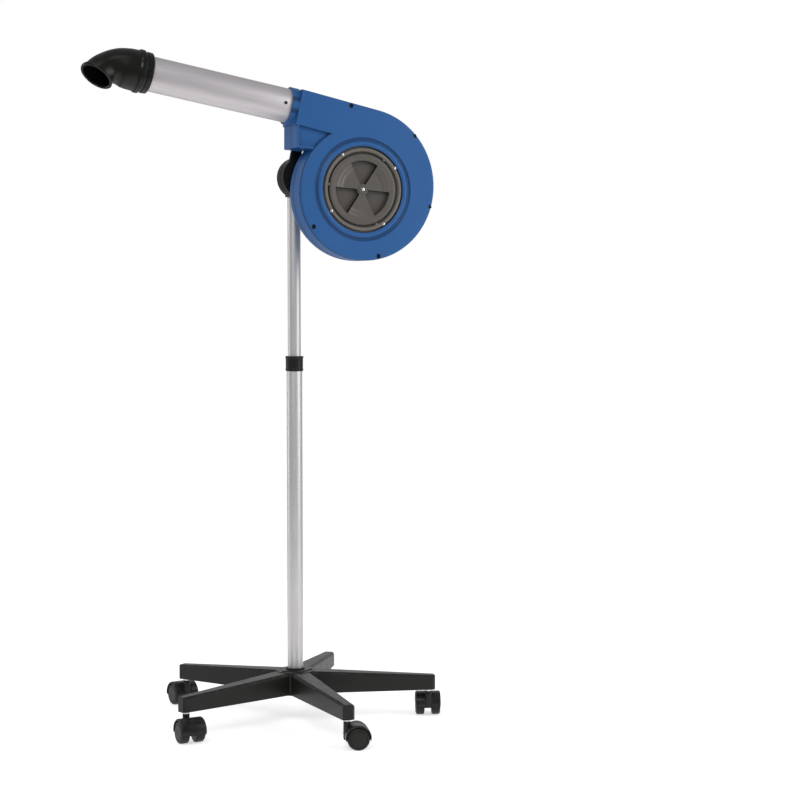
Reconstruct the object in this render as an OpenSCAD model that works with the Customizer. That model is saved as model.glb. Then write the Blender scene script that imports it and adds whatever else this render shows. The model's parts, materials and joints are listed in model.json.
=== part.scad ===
// Pet dryer on a height-adjustable column with a five-armed rolling base.
// The origin is on the floor at the column axis, +Z is up, and the air inlet faces -Y.

/* [Base] */
// Distance from the column to each caster stem
caster_circle = 312; // [290:1:330]
// Height of the underside of the arms above the floor
arm_bottom = 65; // [65:1:70]
// Height of the arms at their outer ends
arm_end_h = 34; // [28:1:38]
// Height of the top of the hub above the floor
hub_top = 121; // [118:1:130]
// Direction of the first arm, in degrees from +X
first_arm = 127; // [120:1:134]
// Diameter of the caster wheels
wheel_d = 50; // [46:1:50]

/* [Column] */
// Outer diameter of the lower tube
lower_d = 36; // [34:0.5:38]
// Outer diameter of the upper tube
upper_d = 30; // [28:0.5:30]
// Height of the top of the collar above the floor
collar_top = 847; // [780:1:900]
// Height of the head's tilt axis above the floor
tilt_z = 1254; // [1200:1:1300]

/* [Fan housing] */
// Radius of the outlet half of the volute
big_r = 171; // [168:1:174]
// Radius of the narrow half of the volute
small_r = 152; // [150:1:154]
// Depth of the front shell, from the seam to the flat face
front_depth = 43; // [42:1:48]
// Depth of the rear shell, from the seam to the flat back
rear_depth = 45; // [42:1:48]
// Wall of the moulded shells
wall = 3; // [2.5:0.5:3]
// Rest angle of the head, nozzle raised
tilt_rest = 12.2; // [8:0.1:16]

/* [Outlet] */
// Outer diameter of the outlet tube
tube_d = 76.2; // [75:0.1:77]
// Length of the outlet tube in front of its socket
tube_reach = 358; // [330:1:400]
// Angle of the tube below the line of the housing's top edge
tube_droop = 2; // [0:0.5:3]
// Roll of the nozzle about the tube, its mouth turned to the front
nozzle_roll = 18; // [0:1:30]
// Bend of the nozzle
nozzle_bend = 64; // [55:1:75]

/* [Hidden] */
$fn = 64;
arm_count = 5;
arm_step = 360 / arm_count;
// Trail direction of each caster, in degrees from +X
caster_headings = [100, 275, 345, 70, 190];

function arm_angle(i) = first_arm + i * arm_step;

// Colours of the real materials
black_plastic = [0.13, 0.13, 0.12];
dark_plastic = [0.09, 0.09, 0.09];
housing_blue = [0.24, 0.40, 0.61];
grille_grey = [0.42, 0.40, 0.38];
satin_metal = [0.76, 0.74, 0.75];
bright_steel = [0.85, 0.85, 0.87];
mica = [0.72, 0.66, 0.52];

// Radial gap of every running fit
running_gap = 0.06;
// A cut starts and ends this far beyond the solid
over = 1;

// ---------- Shared shapes ----------

module ring(outer_r, inner_r, height) {
    difference() {
        cylinder(r = outer_r, h = height);
        translate([0, 0, -over]) cylinder(r = inner_r, h = height + 2 * over);
    }
}

// A ring of round section about the Z axis
module torus(major_r, minor_r) {
    rotate_extrude() translate([major_r, 0]) circle(r = minor_r);
}

// A pan-head screw: its head is above z = 0 and its shank is below
module pan_screw(head_r, head_h, shank_r, shank_h) {
    difference() {
        union() {
            cylinder(r = head_r, h = head_h);
            translate([0, 0, -shank_h]) cylinder(r = shank_r, h = shank_h);
        }
        for (turn = [0, 90])
            rotate(turn) translate([-head_r * 0.55, -head_r * 0.12, head_h * 0.45])
                cube([head_r * 1.1, head_r * 0.24, head_h]);
    }
}

// A round knob with six finger flutes and a blind bore from below
module fluted_knob(knob_r, knob_h, bore_r, bore_h) {
    difference() {
        union() {
            cylinder(r = knob_r, h = knob_h);
            translate([0, 0, -3]) cylinder(r = knob_r * 0.5, h = 3);
        }
        for (turn = [0:60:300])
            rotate(turn) translate([knob_r * 1.18, 0, -over])
                cylinder(r = knob_r * 0.36, h = knob_h + 2 * over);
        translate([0, 0, -3 - over]) cylinder(r = bore_r, h = bore_h + 3 + over);
    }
}

// ---------- Rolling base ----------

arm_root_r = 20;
arm_tip_r = caster_circle + 15;
arm_root_top = hub_top - 4;
arm_end_top = arm_bottom + arm_end_h;
arm_root_half = 25;
arm_tip_half = 14;
arm_wall = 4;
stem_r = 5.5;
hub_r = 44;
lip_r = 39;
pole_foot = arm_bottom + 3;

function along_arm(r) = (r - arm_root_r) / (arm_tip_r - arm_root_r);
function arm_half(r) = arm_root_half + (arm_tip_half - arm_root_half) * along_arm(r);
function arm_top(r) = arm_root_top + (arm_end_top - arm_root_top) * along_arm(r);

// A chamfer along one top edge of an arm, side is 1 or -1
module arm_edge_cut(side) {
    length = arm_tip_r - arm_root_r;
    translate([arm_root_r, side * arm_root_half, arm_root_top])
        rotate([0, 0, side * atan2(arm_tip_half - arm_root_half, length)])
            rotate([0, atan2(arm_root_top - arm_end_top, length), 0])
                translate([-40, 0, 0]) rotate([45, 0, 0]) translate([0, -4, -4]) cube([length + 80, 8, 8]);
}

// A solid arm: its plan, with a clipped end, cut to its side outline
module arm() {
    difference() {
        intersection() {
            rotate([90, 0, 0]) linear_extrude(2 * arm_root_half + 2, center = true)
                polygon([[0, arm_bottom], [arm_tip_r, arm_bottom], [arm_tip_r, arm_end_top - 1.5],
                         [arm_tip_r - 3, arm_end_top], [arm_root_r, arm_root_top], [0, arm_root_top]]);
            linear_extrude(hub_top)
                polygon([[0, -arm_root_half], [arm_root_r, -arm_root_half], [arm_tip_r - 5, -arm_tip_half],
                         [arm_tip_r, 5 - arm_tip_half], [arm_tip_r, arm_tip_half - 5],
                         [arm_tip_r - 5, arm_tip_half], [arm_root_r, arm_root_half], [0, arm_root_half]]);
        }
        for (side = [-1, 1]) arm_edge_cut(side);
    }
}

// The hollow of an arm between two cross ribs, open below
module arm_hollow(r1, r2) {
    intersection() {
        rotate([90, 0, 0]) linear_extrude(2 * arm_root_half, center = true)
            polygon([[r1, 0], [r2, 0], [r2, arm_top(r2) - arm_wall - 4], [r1, arm_top(r1) - arm_wall - 4]]);
        linear_extrude(hub_top)
            polygon([[r1, arm_wall + 3 - arm_half(r1)], [r2, arm_wall + 3 - arm_half(r2)],
                     [r2, arm_half(r2) - arm_wall - 3], [r1, arm_half(r1) - arm_wall - 3]]);
    }
}

module star_base() {
    color(black_plastic) difference() {
        union() {
            for (i = [0:arm_count - 1])
                rotate(arm_angle(i)) arm();
            translate([0, 0, arm_bottom - 1]) cylinder(r = hub_r, h = arm_root_top - arm_bottom + 1);
            translate([0, 0, arm_root_top - 2]) rotate(first_arm) cylinder(r = lip_r, h = 4, $fn = 5);
            translate([0, 0, arm_root_top]) cylinder(r = lower_d / 2 + 4, h = hub_top - arm_root_top + 2);
        }
        for (i = [0:arm_count - 1])
            rotate(arm_angle(i)) {
                for (span = [[46, 128], [132, 214], [218, caster_circle - 14]])
                    arm_hollow(span[0], span[1]);
                translate([caster_circle, 0, 0]) cylinder(r = stem_r, h = arm_end_top - 6);
            }
        translate([0, 0, pole_foot]) cylinder(r = lower_d / 2, h = hub_top);
        cylinder(r = 5.2, h = hub_top);
    }
}

// Five steel stems with a collar below the arm, pressed into the arm ends
module caster_stems() {
    color(bright_steel) for (i = [0:arm_count - 1])
        rotate(arm_angle(i)) translate([caster_circle, 0, 0]) {
            translate([0, 0, wheel_d / 2 + 12]) cylinder(r = stem_r, h = arm_end_top - 8 - wheel_d / 2 - 12);
            translate([0, 0, arm_bottom - 3.5]) cylinder(r = stem_r + 3, h = 3.5);
        }
}

// A hex bolt from below and the threaded plug that it holds in the foot of the tube
module base_bolt() {
    color(bright_steel) {
        translate([0, 0, arm_bottom - 8]) cylinder(r = 9.2, h = 7, $fn = 6);
        translate([0, 0, arm_bottom - 1]) cylinder(r = 5, h = 40);
        translate([0, 0, pole_foot + 14]) cylinder(r = lower_d / 2 - tube_wall, h = 14);
    }
}

// ---------- Casters ----------

trail = 23;
hood_core = 8;
hood_half_w = 29;
hood_r = wheel_d / 2 + 6.5;
axle_r = 4;
axle_half = hood_half_w - 2.8;
hood_top = arm_bottom - 5;

// Places a caster piece: origin on the floor under the stem, +X along the trail
module at_caster(i) {
    rotate(arm_angle(i)) translate([caster_circle, 0, 0])
        rotate(caster_headings[i] - arm_angle(i)) children();
}

// Places a piece on the wheel axis, with its own +Z along the axle
module at_axle() {
    translate([trail, 0, wheel_d / 2]) rotate([90, 0, 0]) children();
}

// The hood: a curved cover over both wheels, the web between them and the socket of the stem
module caster_hood(i) {
    color(black_plastic) at_caster(i) difference() {
        union() {
            intersection() {
                union() {
                    at_axle() translate([0, 0, -hood_half_w])
                        ring(hood_r, wheel_d / 2 + 1.4, 2 * hood_half_w);
                    at_axle() translate([0, 0, -hood_core]) cylinder(r = hood_r - 1, h = 2 * hood_core);
                }
                translate([trail - hood_r - over, -50, wheel_d / 2 - 4])
                    cube([2 * hood_r + 2 * over, 100, 60]);
            }
            at_axle() translate([0, 0, -hood_core]) cylinder(r = 11, h = 2 * hood_core);
            translate([0, 0, wheel_d / 2 - 4]) cylinder(r = hood_core - 0.1, h = hood_top - wheel_d / 2 + 4);
        }
        translate([0, 0, wheel_d / 2 + 11]) cylinder(r = stem_r + running_gap, h = 60);
        at_axle() translate([0, 0, -40]) cylinder(r = axle_r, h = 80);
    }
}

module caster_axle(i) {
    color(bright_steel) at_caster(i) at_axle() translate([0, 0, -axle_half])
        cylinder(r = axle_r, h = 2 * axle_half);
}

// One wheel with a rounded tread and a dished outer face, side is 1 or -1
module caster_wheel(i, side) {
    inner = hood_core + 0.4;
    width = hood_half_w - inner - 0.5;
    round_r = 3;
    color(dark_plastic) at_caster(i) at_axle() mirror([0, 0, side > 0 ? 0 : 1])
        translate([0, 0, inner]) difference() {
            rotate_extrude() union() {
                square([wheel_d / 2 - round_r, width]);
                translate([0, round_r]) square([wheel_d / 2, width - 2 * round_r]);
                for (y = [round_r, width - round_r])
                    translate([wheel_d / 2 - round_r, y]) circle(r = round_r);
            }
            translate([0, 0, width - 1.2]) ring(wheel_d / 2 - 6, wheel_d / 2 - 7.5, 5);
            translate([0, 0, -over]) cylinder(r = axle_r + running_gap, h = width - 2 + over);
        }
}

// ---------- Column ----------

tube_wall = 2;
lower_top = collar_top - 8;
upper_r = upper_d / 2;
upper_foot = 440;
upper_top = tilt_z - 7;
knob_z = collar_top - 24;
collar_knob_angle = 53;
lock_r = 3;

module lower_tube() {
    color(satin_metal) difference() {
        translate([0, 0, pole_foot]) ring(lower_d / 2, lower_d / 2 - tube_wall, lower_top - pole_foot);
        lock_hole(lock_r + 0.5);
    }
}

// The radial hole that the collar's locking screw passes through
module lock_hole(hole_r) {
    translate([0, 0, knob_z]) rotate(collar_knob_angle) rotate([0, 90, 0]) cylinder(r = hole_r, h = 60);
}

module height_collar() {
    collar_r = lower_d / 2 + 2.3;
    color(black_plastic) difference() {
        union() {
            translate([0, 0, collar_top - 34.5]) cylinder(r = collar_r, h = 34.5);
            translate([0, 0, knob_z]) rotate(collar_knob_angle) rotate([0, 90, 0])
                cylinder(r = 7, h = collar_r + 5);
        }
        translate([0, 0, collar_top - 35.5]) cylinder(r = lower_d / 2, h = lower_top - collar_top + 35.5);
        translate([0, 0, 700]) cylinder(r = upper_r + running_gap, h = 300);
        lock_hole(lock_r + running_gap);
    }
}

// Wing screw that clamps the bush on the upper tube
module collar_knob() {
    color(dark_plastic) translate([0, 0, knob_z]) rotate(collar_knob_angle) rotate([0, 90, 0]) {
        translate([0, 0, lower_d / 2 - tube_wall + 0.2]) cylinder(r = lock_r, h = 16);
        translate([0, 0, lower_d / 2 + 7.8]) cylinder(r = 7, h = 5);
        translate([-4.5, -12, lower_d / 2 + 12.8]) cube([9, 24, 9]);
    }
}

// Sleeve between the tubes, it turns with the upper tube
module collar_bush() {
    color(dark_plastic) translate([0, 0, collar_top - 62])
        ring(lower_d / 2 - tube_wall - running_gap, upper_r + running_gap, lower_top - collar_top + 61.7);
}

module upper_tube() {
    color(satin_metal) translate([0, 0, upper_foot]) ring(upper_r, upper_r - 1.5, upper_top - upper_foot);
}

// Plastic guide at the foot of the upper tube
module guide_plug() {
    color(dark_plastic) {
        translate([0, 0, upper_foot - 12]) cylinder(r = lower_d / 2 - tube_wall - running_gap, h = 12);
        translate([0, 0, upper_foot]) cylinder(r = upper_r - 1.5, h = 20);
    }
}

// ---------- Tilt joint, along Y through the column's top ----------

knuckle_r = 46.7;
hub_front = -37.7;
hub_rear = -15;
plate_rear = -40;
back_y = -58;
bolt_r = 5;
socket_r = 20;

// Places a piece on the tilt axis at depth y, with its own +Z along +Y
module on_tilt_axis(y) {
    translate([0, y, tilt_z]) rotate([-90, 0, 0]) children();
}

module tilt_hub() {
    color(black_plastic) difference() {
        union() {
            on_tilt_axis(hub_front) cylinder(r = knuckle_r, h = hub_rear - hub_front);
            translate([0, 0, tilt_z - 42]) cylinder(r = socket_r, h = 70);
            on_tilt_axis(0) cylinder(r = 12, h = 24);
        }
        translate([0, 0, tilt_z - 60]) cylinder(r = upper_r, h = upper_top - tilt_z + 60);
        on_tilt_axis(-60) cylinder(r = bolt_r + running_gap, h = 100);
    }
}

// ---------- Head: its frame has the fan axis at x = 0, z = 0 and the tube towards -X ----------

pivot_x = -116;
pivot_z = 5;
seam_y = -103;
face_y = seam_y - front_depth;
turn_x = 2;
big_y = 12;
small_y = -7;
duct_low = 104;
duct_top = big_y + big_r;
duct_end = -186;
front_edge = 5;
rear_edge = 30;
socket_end = -202;
socket_height = 145;
tube_r = tube_d / 2;
inlet_seat_r = 97;
inlet_seat = front_depth - 10;
ring_screw_r = 91;
// Centres of the shell screws, on the face
shell_screw_at = [[-67, 176], [99, 149], [170, 0], [68, -138], [-98, -108]];

// Moves a piece from the head's frame to the row's frame
module head() {
    translate([0, 0, tilt_z]) rotate([0, tilt_rest, 0]) translate([-pivot_x, 0, -pivot_z]) children();
}

// Shell frames: X to the right, Y up, Z away from the seam, towards the front or the back
module front_frame() {
    head() translate([0, seam_y, 0]) rotate([90, 0, 0]) children();
}

module rear_frame() {
    head() translate([0, seam_y, 0]) mirror([0, 1, 0]) rotate([90, 0, 0]) children();
}

// Places a piece on the fan axis at depth y, with its own +Z towards the front
module on_fan_axis(y) {
    head() translate([0, y, 0]) rotate([90, 0, 0]) children();
}

// The tube's frame: origin in the middle of the socket's mouth, -X along the tube
module tube_frame() {
    head() translate([socket_end, seam_y, socket_height]) rotate([0, -tube_droop, 0]) children();
}

// Half outline of a round body: radius r, height depth, and its outer edge rounded or, at 0, sharp
module rounded_profile(r, depth, edge) {
    square([r - edge, depth]);
    square([r, depth - edge]);
    if (edge > 0) translate([r - edge, depth - edge]) intersection() {
        circle(r = edge);
        square(edge);
    }
}

// The volute with its outlet duct, shrunk by inset: two half turns and a rounded bar
module volute(depth, edge, inset) {
    for (side = [[big_r, big_y, -90], [small_r, small_y, 90]])
        translate([turn_x, side[1], 0]) rotate(side[2]) rotate_extrude(angle = 180)
            rounded_profile(side[0] - inset, depth, edge);
    translate([duct_end + inset, duct_low + inset, 0]) rotate([90, 0, 90])
        linear_extrude(turn_x - duct_end - inset)
            rounded_profile(duct_top - duct_low - 2 * inset, depth, edge);
}

// The web between the duct and the volute, with its rim on the left and below
module web(depth, recess) {
    linear_extrude(depth - recess) difference() {
        polygon([[-183, 107], [-172, 55], [-132, 60], [-98, 106]]);
        polygon([[-178, 101], [-168.5, 59], [-141, 62.5], [-113, 101]]);
    }
    translate([0, 0, depth - recess - wall]) linear_extrude(wall)
        polygon([[-183, 107], [-172, 55], [-132, 60], [-98, 106]]);
    linear_extrude(depth) polygon([[-183, 107], [-172, 55], [-168, 55.5], [-178.5, 107]]);
    linear_extrude(depth) polygon([[-172, 55], [-134, 60], [-135, 64], [-171, 59]]);
}

// One moulded half of the housing, before its holes; a small edge is rounded only outside
module shell_half(depth, edge, web_recess) {
    inner_edge = edge > 4 * wall ? edge - wall : 0;
    difference() {
        union() {
            volute(depth, edge, 0);
            web(depth, web_recess);
        }
        translate([0, 0, -over]) volute(depth - wall + over, inner_edge, wall);
    }
    intersection() {
        for (at = shell_screw_at) translate([at[0], at[1], 0]) cylinder(r = 7, h = depth - 1.5);
        volute(depth, edge, 0.5);
    }
}

// The half round socket that takes the tube, cut at the seam
module socket_half() {
    intersection() {
        translate([socket_end, socket_height, 0]) rotate([0, 0, tube_droop]) rotate([0, 90, 0])
            cylinder(r = tube_r + 4.2, h = 18);
        translate([socket_end - 10, 0, 0]) cube([60, 300, 80]);
    }
}

module socket_bore() {
    translate([socket_end, socket_height, 0]) rotate([0, 0, tube_droop]) rotate([0, 90, 0])
        translate([0, 0, -10]) cylinder(r = tube_r, h = 32);
}

module front_shell() {
    color(housing_blue) front_frame() difference() {
        union() {
            shell_half(front_depth, front_edge, 8);
            socket_half();
            translate([0, 0, inlet_seat - wall])
                ring(inlet_seat_r + wall, 84, front_depth - inlet_seat + wall - 1);
            translate([0, 0, front_depth - 4]) torus(102.5, 6);
            translate([0, 0, front_depth - wall - 3]) ring(119, 105, 4);
        }
        translate([0, 0, inlet_seat]) cylinder(r = inlet_seat_r, h = 40);
        cylinder(r = 84, h = 60);
        translate([0, 0, front_depth + 1.8]) torus(112, 5);
        for (turn = [45:90:315])
            rotate(turn) translate([ring_screw_r, 0, 0]) cylinder(r = 1.6, h = 60);
        for (at = shell_screw_at) translate([at[0], at[1], 0]) {
            cylinder(r = 2.1, h = 60);
            translate([0, 0, front_depth - 5]) cylinder(r = 5.2, h = 10);
        }
        socket_bore();
    }
}

module rear_shell() {
    color(housing_blue) rear_frame() difference() {
        union() {
            shell_half(rear_depth, rear_edge, 12);
            socket_half();
            translate([pivot_x, pivot_z, rear_depth - 12]) cylinder(r = 22, h = 12);
            translate([0, 0, rear_depth - 8]) cylinder(r = 60, h = 8);
            for (at = plate_screw_at)
                translate([pivot_x + at[0], pivot_z + at[1], rear_depth - 12]) cylinder(r = 6, h = 11);
        }
        translate([0, 0, rear_depth - 20]) cylinder(r = 25, h = 40);
        for (turn = [45:90:315])
            rotate(turn) translate([cover_screw_r, 0, 0]) cylinder(r = 1.6, h = 60);
        for (at = shell_screw_at) translate([at[0], at[1], -over]) cylinder(r = 2, h = 22 + over);
        for (at = plate_screw_at)
            translate([pivot_x + at[0], pivot_z + at[1], 0]) cylinder(r = 2.5, h = 60);
        socket_bore();
    }
}

// Screws between the two shells, each in a pocket at the edge of the face
module shell_screws() {
    color(dark_plastic) front_frame() for (at = shell_screw_at)
        translate([at[0], at[1], front_depth - 5]) pan_screw(4, 2.6, 2, front_depth + 12);
}

// ---------- Air inlet ----------

ring_outer = 92.5;
ring_inner = 85;
sector_angle = 60;
sector_inner = 13;
sector_outer = 65;
open_sectors = [98, 218, 338];
dish = 5;

// A flat sector of the inlet's three vents
module sector(middle, inner_r, outer_r, height) {
    half = sector_angle / 2;
    rotate(middle) linear_extrude(height) difference() {
        intersection() {
            circle(r = outer_r);
            polygon([[0, 0], [200, -200 * tan(half)], [200, 200 * tan(half)]]);
        }
        circle(r = inner_r);
    }
}

// Ring with a base flange, a raised rim and four screw notches
module inlet_ring() {
    color(grille_grey) front_frame() difference() {
        union() {
            translate([0, 0, inlet_seat]) ring(inlet_seat_r - 0.5, ring_inner, 3);
            translate([0, 0, inlet_seat]) ring(ring_outer, ring_inner, 13);
            translate([0, 0, inlet_seat]) for (turn = [65:120:305])
                rotate(turn) translate([81.5, -2.5, 9]) cube([4.5, 5, 2]);
        }
        for (turn = [45:90:315])
            rotate(turn) translate([ring_screw_r, 0, 0]) {
                cylinder(r = 1.7, h = 60);
                translate([0, 0, inlet_seat + 10]) cylinder(r = 4, h = 10);
            }
    }
}

module ring_screws() {
    color(bright_steel) front_frame() for (turn = [45:90:315])
        rotate(turn) translate([ring_screw_r, 0, inlet_seat + 10]) pan_screw(3.4, 2.2, 1.6, 16);
}

// Fixed dished plate behind the shutter, with three vents
module grille_plate() {
    color(grille_grey) front_frame() difference() {
        union() {
            translate([0, 0, inlet_seat - dish]) cylinder(r = 83.5, h = 2.5);
            translate([0, 0, inlet_seat - dish]) ring(83.5, 81, dish + 3.5);
            translate([0, 0, inlet_seat + 1]) ring(ring_inner, 81, 2.5);
            translate([0, 0, inlet_seat - dish]) cylinder(r = 9, h = dish + 3.6);
        }
        for (middle = open_sectors)
            translate([0, 0, inlet_seat - dish - over])
                sector(middle + sector_angle, sector_inner, sector_outer, 5);
        translate([0, 0, inlet_seat - dish - over]) cylinder(r = 2.5, h = 20);
    }
}

// Turning plate in front of the fixed one: it covers the vents or frees them
module shutter_disc() {
    base = inlet_seat + 3.8;
    color(grille_grey) front_frame() difference() {
        union() {
            translate([0, 0, base]) cylinder(r = 80, h = 3.5);
            translate([0, 0, base]) ring(80, 73, 5);
            translate([0, 0, base]) cylinder(r = 10.5, h = 5.5);
        }
        for (middle = open_sectors)
            translate([0, 0, base - over]) sector(middle, sector_inner, sector_outer, 10);
        translate([0, 0, base - over]) cylinder(r = 2.5 + running_gap, h = 10);
        translate([0, 0, base + 4]) cylinder(r = 5.5, h = 5);
    }
}

module shutter_screw() {
    color(bright_steel) front_frame() translate([0, 0, inlet_seat + 8]) pan_screw(4, 2.4, 2.5, 14);
}

// ---------- Fan and motor ----------

shaft_r = 4;
impeller_front = seam_y - 22;
impeller_back = back_y - 16;
motor_r = 41;
motor_rear = 8;
cover_r = 58;
cover_screw_r = 51;
// Turn of the cord gland from straight down, its cord clears the base
gland_turn = 50;
cover_rear = 34;

// Forward-curved blower wheel: hub, back plate, blades and front ring
module impeller() {
    depth = impeller_back - impeller_front;
    blade_count = 20;
    color(dark_plastic) on_fan_axis(impeller_back) difference() {
        union() {
            cylinder(r = 76, h = 2);
            cylinder(r = 11, h = 26);
            translate([0, 0, depth - 3]) ring(76, 68, 3);
            for (k = [0:blade_count - 1])
                rotate(k * 360 / blade_count) translate([64, 0, 1]) rotate(28)
                    translate([-7, -0.8, 0]) cube([15, 1.6, depth - 2]);
        }
        translate([0, 0, -over]) cylinder(r = shaft_r, h = 40);
    }
}

module motor_shaft() {
    color(bright_steel) on_fan_axis(motor_rear + 8)
        cylinder(r = shaft_r, h = motor_rear + 8 - impeller_back + 28);
}

// Ball bearings in the motor's front boss and rear bell
module motor_bearings() {
    color(bright_steel) {
        on_fan_axis(back_y) ring(11, shaft_r + running_gap, 7);
        on_fan_axis(motor_rear) ring(11, shaft_r + running_gap, 7);
    }
}

module motor() {
    color([0.30, 0.30, 0.32]) difference() {
        union() {
            on_fan_axis(motor_rear) cylinder(r = motor_r, h = motor_rear - back_y);
            on_fan_axis(back_y) cylinder(r = 24, h = 9);
        }
        on_fan_axis(motor_rear + over) cylinder(r = 7, h = 100);
        on_fan_axis(back_y) cylinder(r = 11, h = 7);
        on_fan_axis(motor_rear) cylinder(r = 11, h = 7);
    }
}

// Vented cap over the motor, with two switch windows in its rear wall
module motor_cover() {
    depth = cover_rear - back_y;
    color(black_plastic) on_fan_axis(cover_rear) difference() {
        cylinder(r = cover_r, h = depth);
        translate([0, 0, wall]) cylinder(r = cover_r - wall, h = depth);
        for (turn = [0:15:345])
            rotate(turn) translate([cover_r - 10, -1.5, 30]) cube([20, 3, 40]);
        for (x = [-14, 14]) translate([x - switch_half_w, -switch_half_h, -over])
            cube([2 * switch_half_w, 2 * switch_half_h, wall + 2 * over]);
        for (y = [26:8:42]) translate([-22, y, -over]) cube([44, 3, wall + 2 * over]);
        rotate(gland_turn) translate([0, -cover_r + 6, 14]) rotate([90, 0, 0]) cylinder(r = 6.5, h = 20);
    }
    color(black_plastic) for (turn = [45:90:315])
        on_fan_axis(back_y + 12) rotate(turn) translate([cover_screw_r, 0, 0]) ring(5, 1.7, 11.6);
}

module cover_screws() {
    color(bright_steel) for (turn = [45:90:315])
        head() translate([0, back_y + 12, 0]) rotate([-90, 0, 0]) rotate(turn)
            translate([cover_screw_r, 0, 0]) pan_screw(3.2, 2.2, 1.6, 24);
}

switch_half_w = 10;
switch_half_h = 14;

// Rocker switch body with its V-shaped cap and its pivot, x is its place on the cover
module rocker(x) {
    translate([x, 0, 0]) rotate([0, 90, 0]) {
        translate([0, 0, 0.4 - switch_half_w])
            linear_extrude(2 * switch_half_w - 0.8)
                polygon([[-8, -switch_half_h + 1.8], [3, -switch_half_h + 1.6], [1.6, 0],
                         [5, switch_half_h - 1.6], [-8, switch_half_h - 1.8]]);
        translate([0, 0, 0.1 - switch_half_w]) cylinder(r = 1.4, h = 2 * switch_half_w - 0.2);
    }
}

module blower_switch() {
    color(dark_plastic) on_fan_axis(cover_rear) rocker(-14);
}

module heat_switch() {
    color(dark_plastic) on_fan_axis(cover_rear) rocker(14);
}

// Cord inlet under the cover
module cord_gland() {
    color(dark_plastic) on_fan_axis(cover_rear) rotate(gland_turn)
        translate([0, -cover_r, 14]) rotate([90, 0, 0]) difference() {
        union() {
            translate([0, 0, 0.3]) cylinder(r = 9, h = 3);
            translate([0, 0, -5]) cylinder(r = 6.5, h = 24);
        }
        translate([0, 0, -10]) cylinder(r = 3.6, h = 40);
    }
}

// ---------- Tilt plate on the back of the housing ----------

plate_screw_at = [[22, 24], [34, 0], [22, -24]];

module tilt_plate() {
    color(black_plastic) difference() {
        union() {
            on_tilt_axis(back_y) cylinder(r = knuckle_r, h = plate_rear - back_y);
            head() translate([-153, back_y + 0.4, 20]) cube([24, 9, 96]);
        }
        on_tilt_axis(back_y - over) cylinder(r = 9.3, h = 8 + over, $fn = 6);
        on_tilt_axis(back_y) cylinder(r = bolt_r, h = 40);
        head() translate([pivot_x, back_y, pivot_z]) rotate([-90, 0, 0]) for (at = plate_screw_at)
            translate([at[0], -at[1], 0]) {
                cylinder(r = 2.5, h = 40);
                translate([0, 0, plate_rear - 4 - back_y]) cylinder(r = 4.8, h = 10);
            }
    }
}

// Screws that hold the plate on the housing, their heads sunk under the washer
module plate_screws() {
    color(bright_steel) head() translate([pivot_x, plate_rear - 4, pivot_z]) rotate([-90, 0, 0])
        for (at = plate_screw_at) translate([at[0], -at[1], 0]) pan_screw(4.5, 3, 2.5, 25);
}

module friction_washer() {
    color([0.45, 0.36, 0.26]) on_tilt_axis(plate_rear) ring(38, bolt_r, 2);
}

module tilt_bolt() {
    color(bright_steel) {
        on_tilt_axis(back_y + 1) cylinder(r = 9.2, h = 6, $fn = 6);
        on_tilt_axis(back_y + 7) cylinder(r = bolt_r, h = 92);
    }
}

module tilt_knob() {
    color(dark_plastic) on_tilt_axis(27.3) fluted_knob(24, 18, bolt_r + running_gap, 15);
}

// ---------- Outlet ----------

tube_inside = 20;
sleeve_start = 320;
bend_r = 63;
bend_start = tube_reach + 21;
nozzle_r0 = 44.4;
nozzle_r1 = 34.4;
nozzle_skin = 2.5;
bore_r = tube_r - 1.5;
path_rings = 14;
path_sides = 48;

// Piece along the tube's axis, from a distance before the socket's mouth
module along_tube(from) {
    tube_frame() translate([-from, 0, 0]) rotate([0, -90, 0]) children();
}

module outlet_tube() {
    color(satin_metal) difference() {
        along_tube(-tube_inside) ring(tube_r, bore_r, tube_reach + tube_inside);
        tube_screw_place() translate([0, 0, -10]) cylinder(r = 1.6, h = 20);
    }
}

// Three screws around the tube, just in front of the socket
module tube_screw_place() {
    tube_frame() for (turn = [0, 120, 240])
        rotate([turn, 0, 0]) translate([-15, -tube_r, 0]) rotate([90, 0, 0]) children();
}

module tube_screws() {
    color(dark_plastic) tube_screw_place() pan_screw(3.6, 2, 1.6, 6);
}

// Crossed mica boards that carry the heating coils
module heater_frame() {
    color(mica) difference() {
        tube_frame() union() {
            translate([-130, -35, -0.75]) cube([120, 70, 1.5]);
            translate([-130, -0.75, -35]) cube([120, 1.5, 70]);
            translate([-10, 0, 0]) rotate([0, -90, 0]) ring(bore_r - 0.1, 33.5, 10);
        }
        for (k = [0:5]) along_tube(30 + 18 * k) torus(25, 1.6);
        tube_screw_place() translate([0, 0, -8]) cylinder(r = 1.6, h = 20);
    }
}

module heater_coils() {
    color([0.55, 0.45, 0.38]) for (k = [0:5]) along_tube(30 + 18 * k) torus(25, 1.5);
}

// Length, bend angle and radius of the nozzle at a fraction of its path
nozzle_arc = bend_r * nozzle_bend * PI / 180;
nozzle_straight = bend_start - tube_reach - 1.5;
nozzle_path = nozzle_straight + nozzle_arc;
rim_r = 2.6;
function bend_at(s) = max(0, (s * nozzle_path - nozzle_straight) / bend_r * 180 / PI);
function radius_at(s) = nozzle_r1 + (nozzle_r0 - nozzle_r1) * (1 + cos(180 * min(1, s / 0.7))) / 2;
function inner_at(s) = min(bore_r, radius_at(s) - nozzle_skin);
function centre_at(s) = let (a = bend_at(s))
    [-(tube_reach + 1.5 + min(s * nozzle_path, nozzle_straight)) - bend_r * sin(a), 0,
     -bend_r * (1 - cos(a))];
function ring_point(s, r, turn) = let (a = bend_at(s))
    centre_at(s) + [-r * cos(turn) * sin(a), r * sin(turn), r * cos(turn) * cos(a)];
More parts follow.
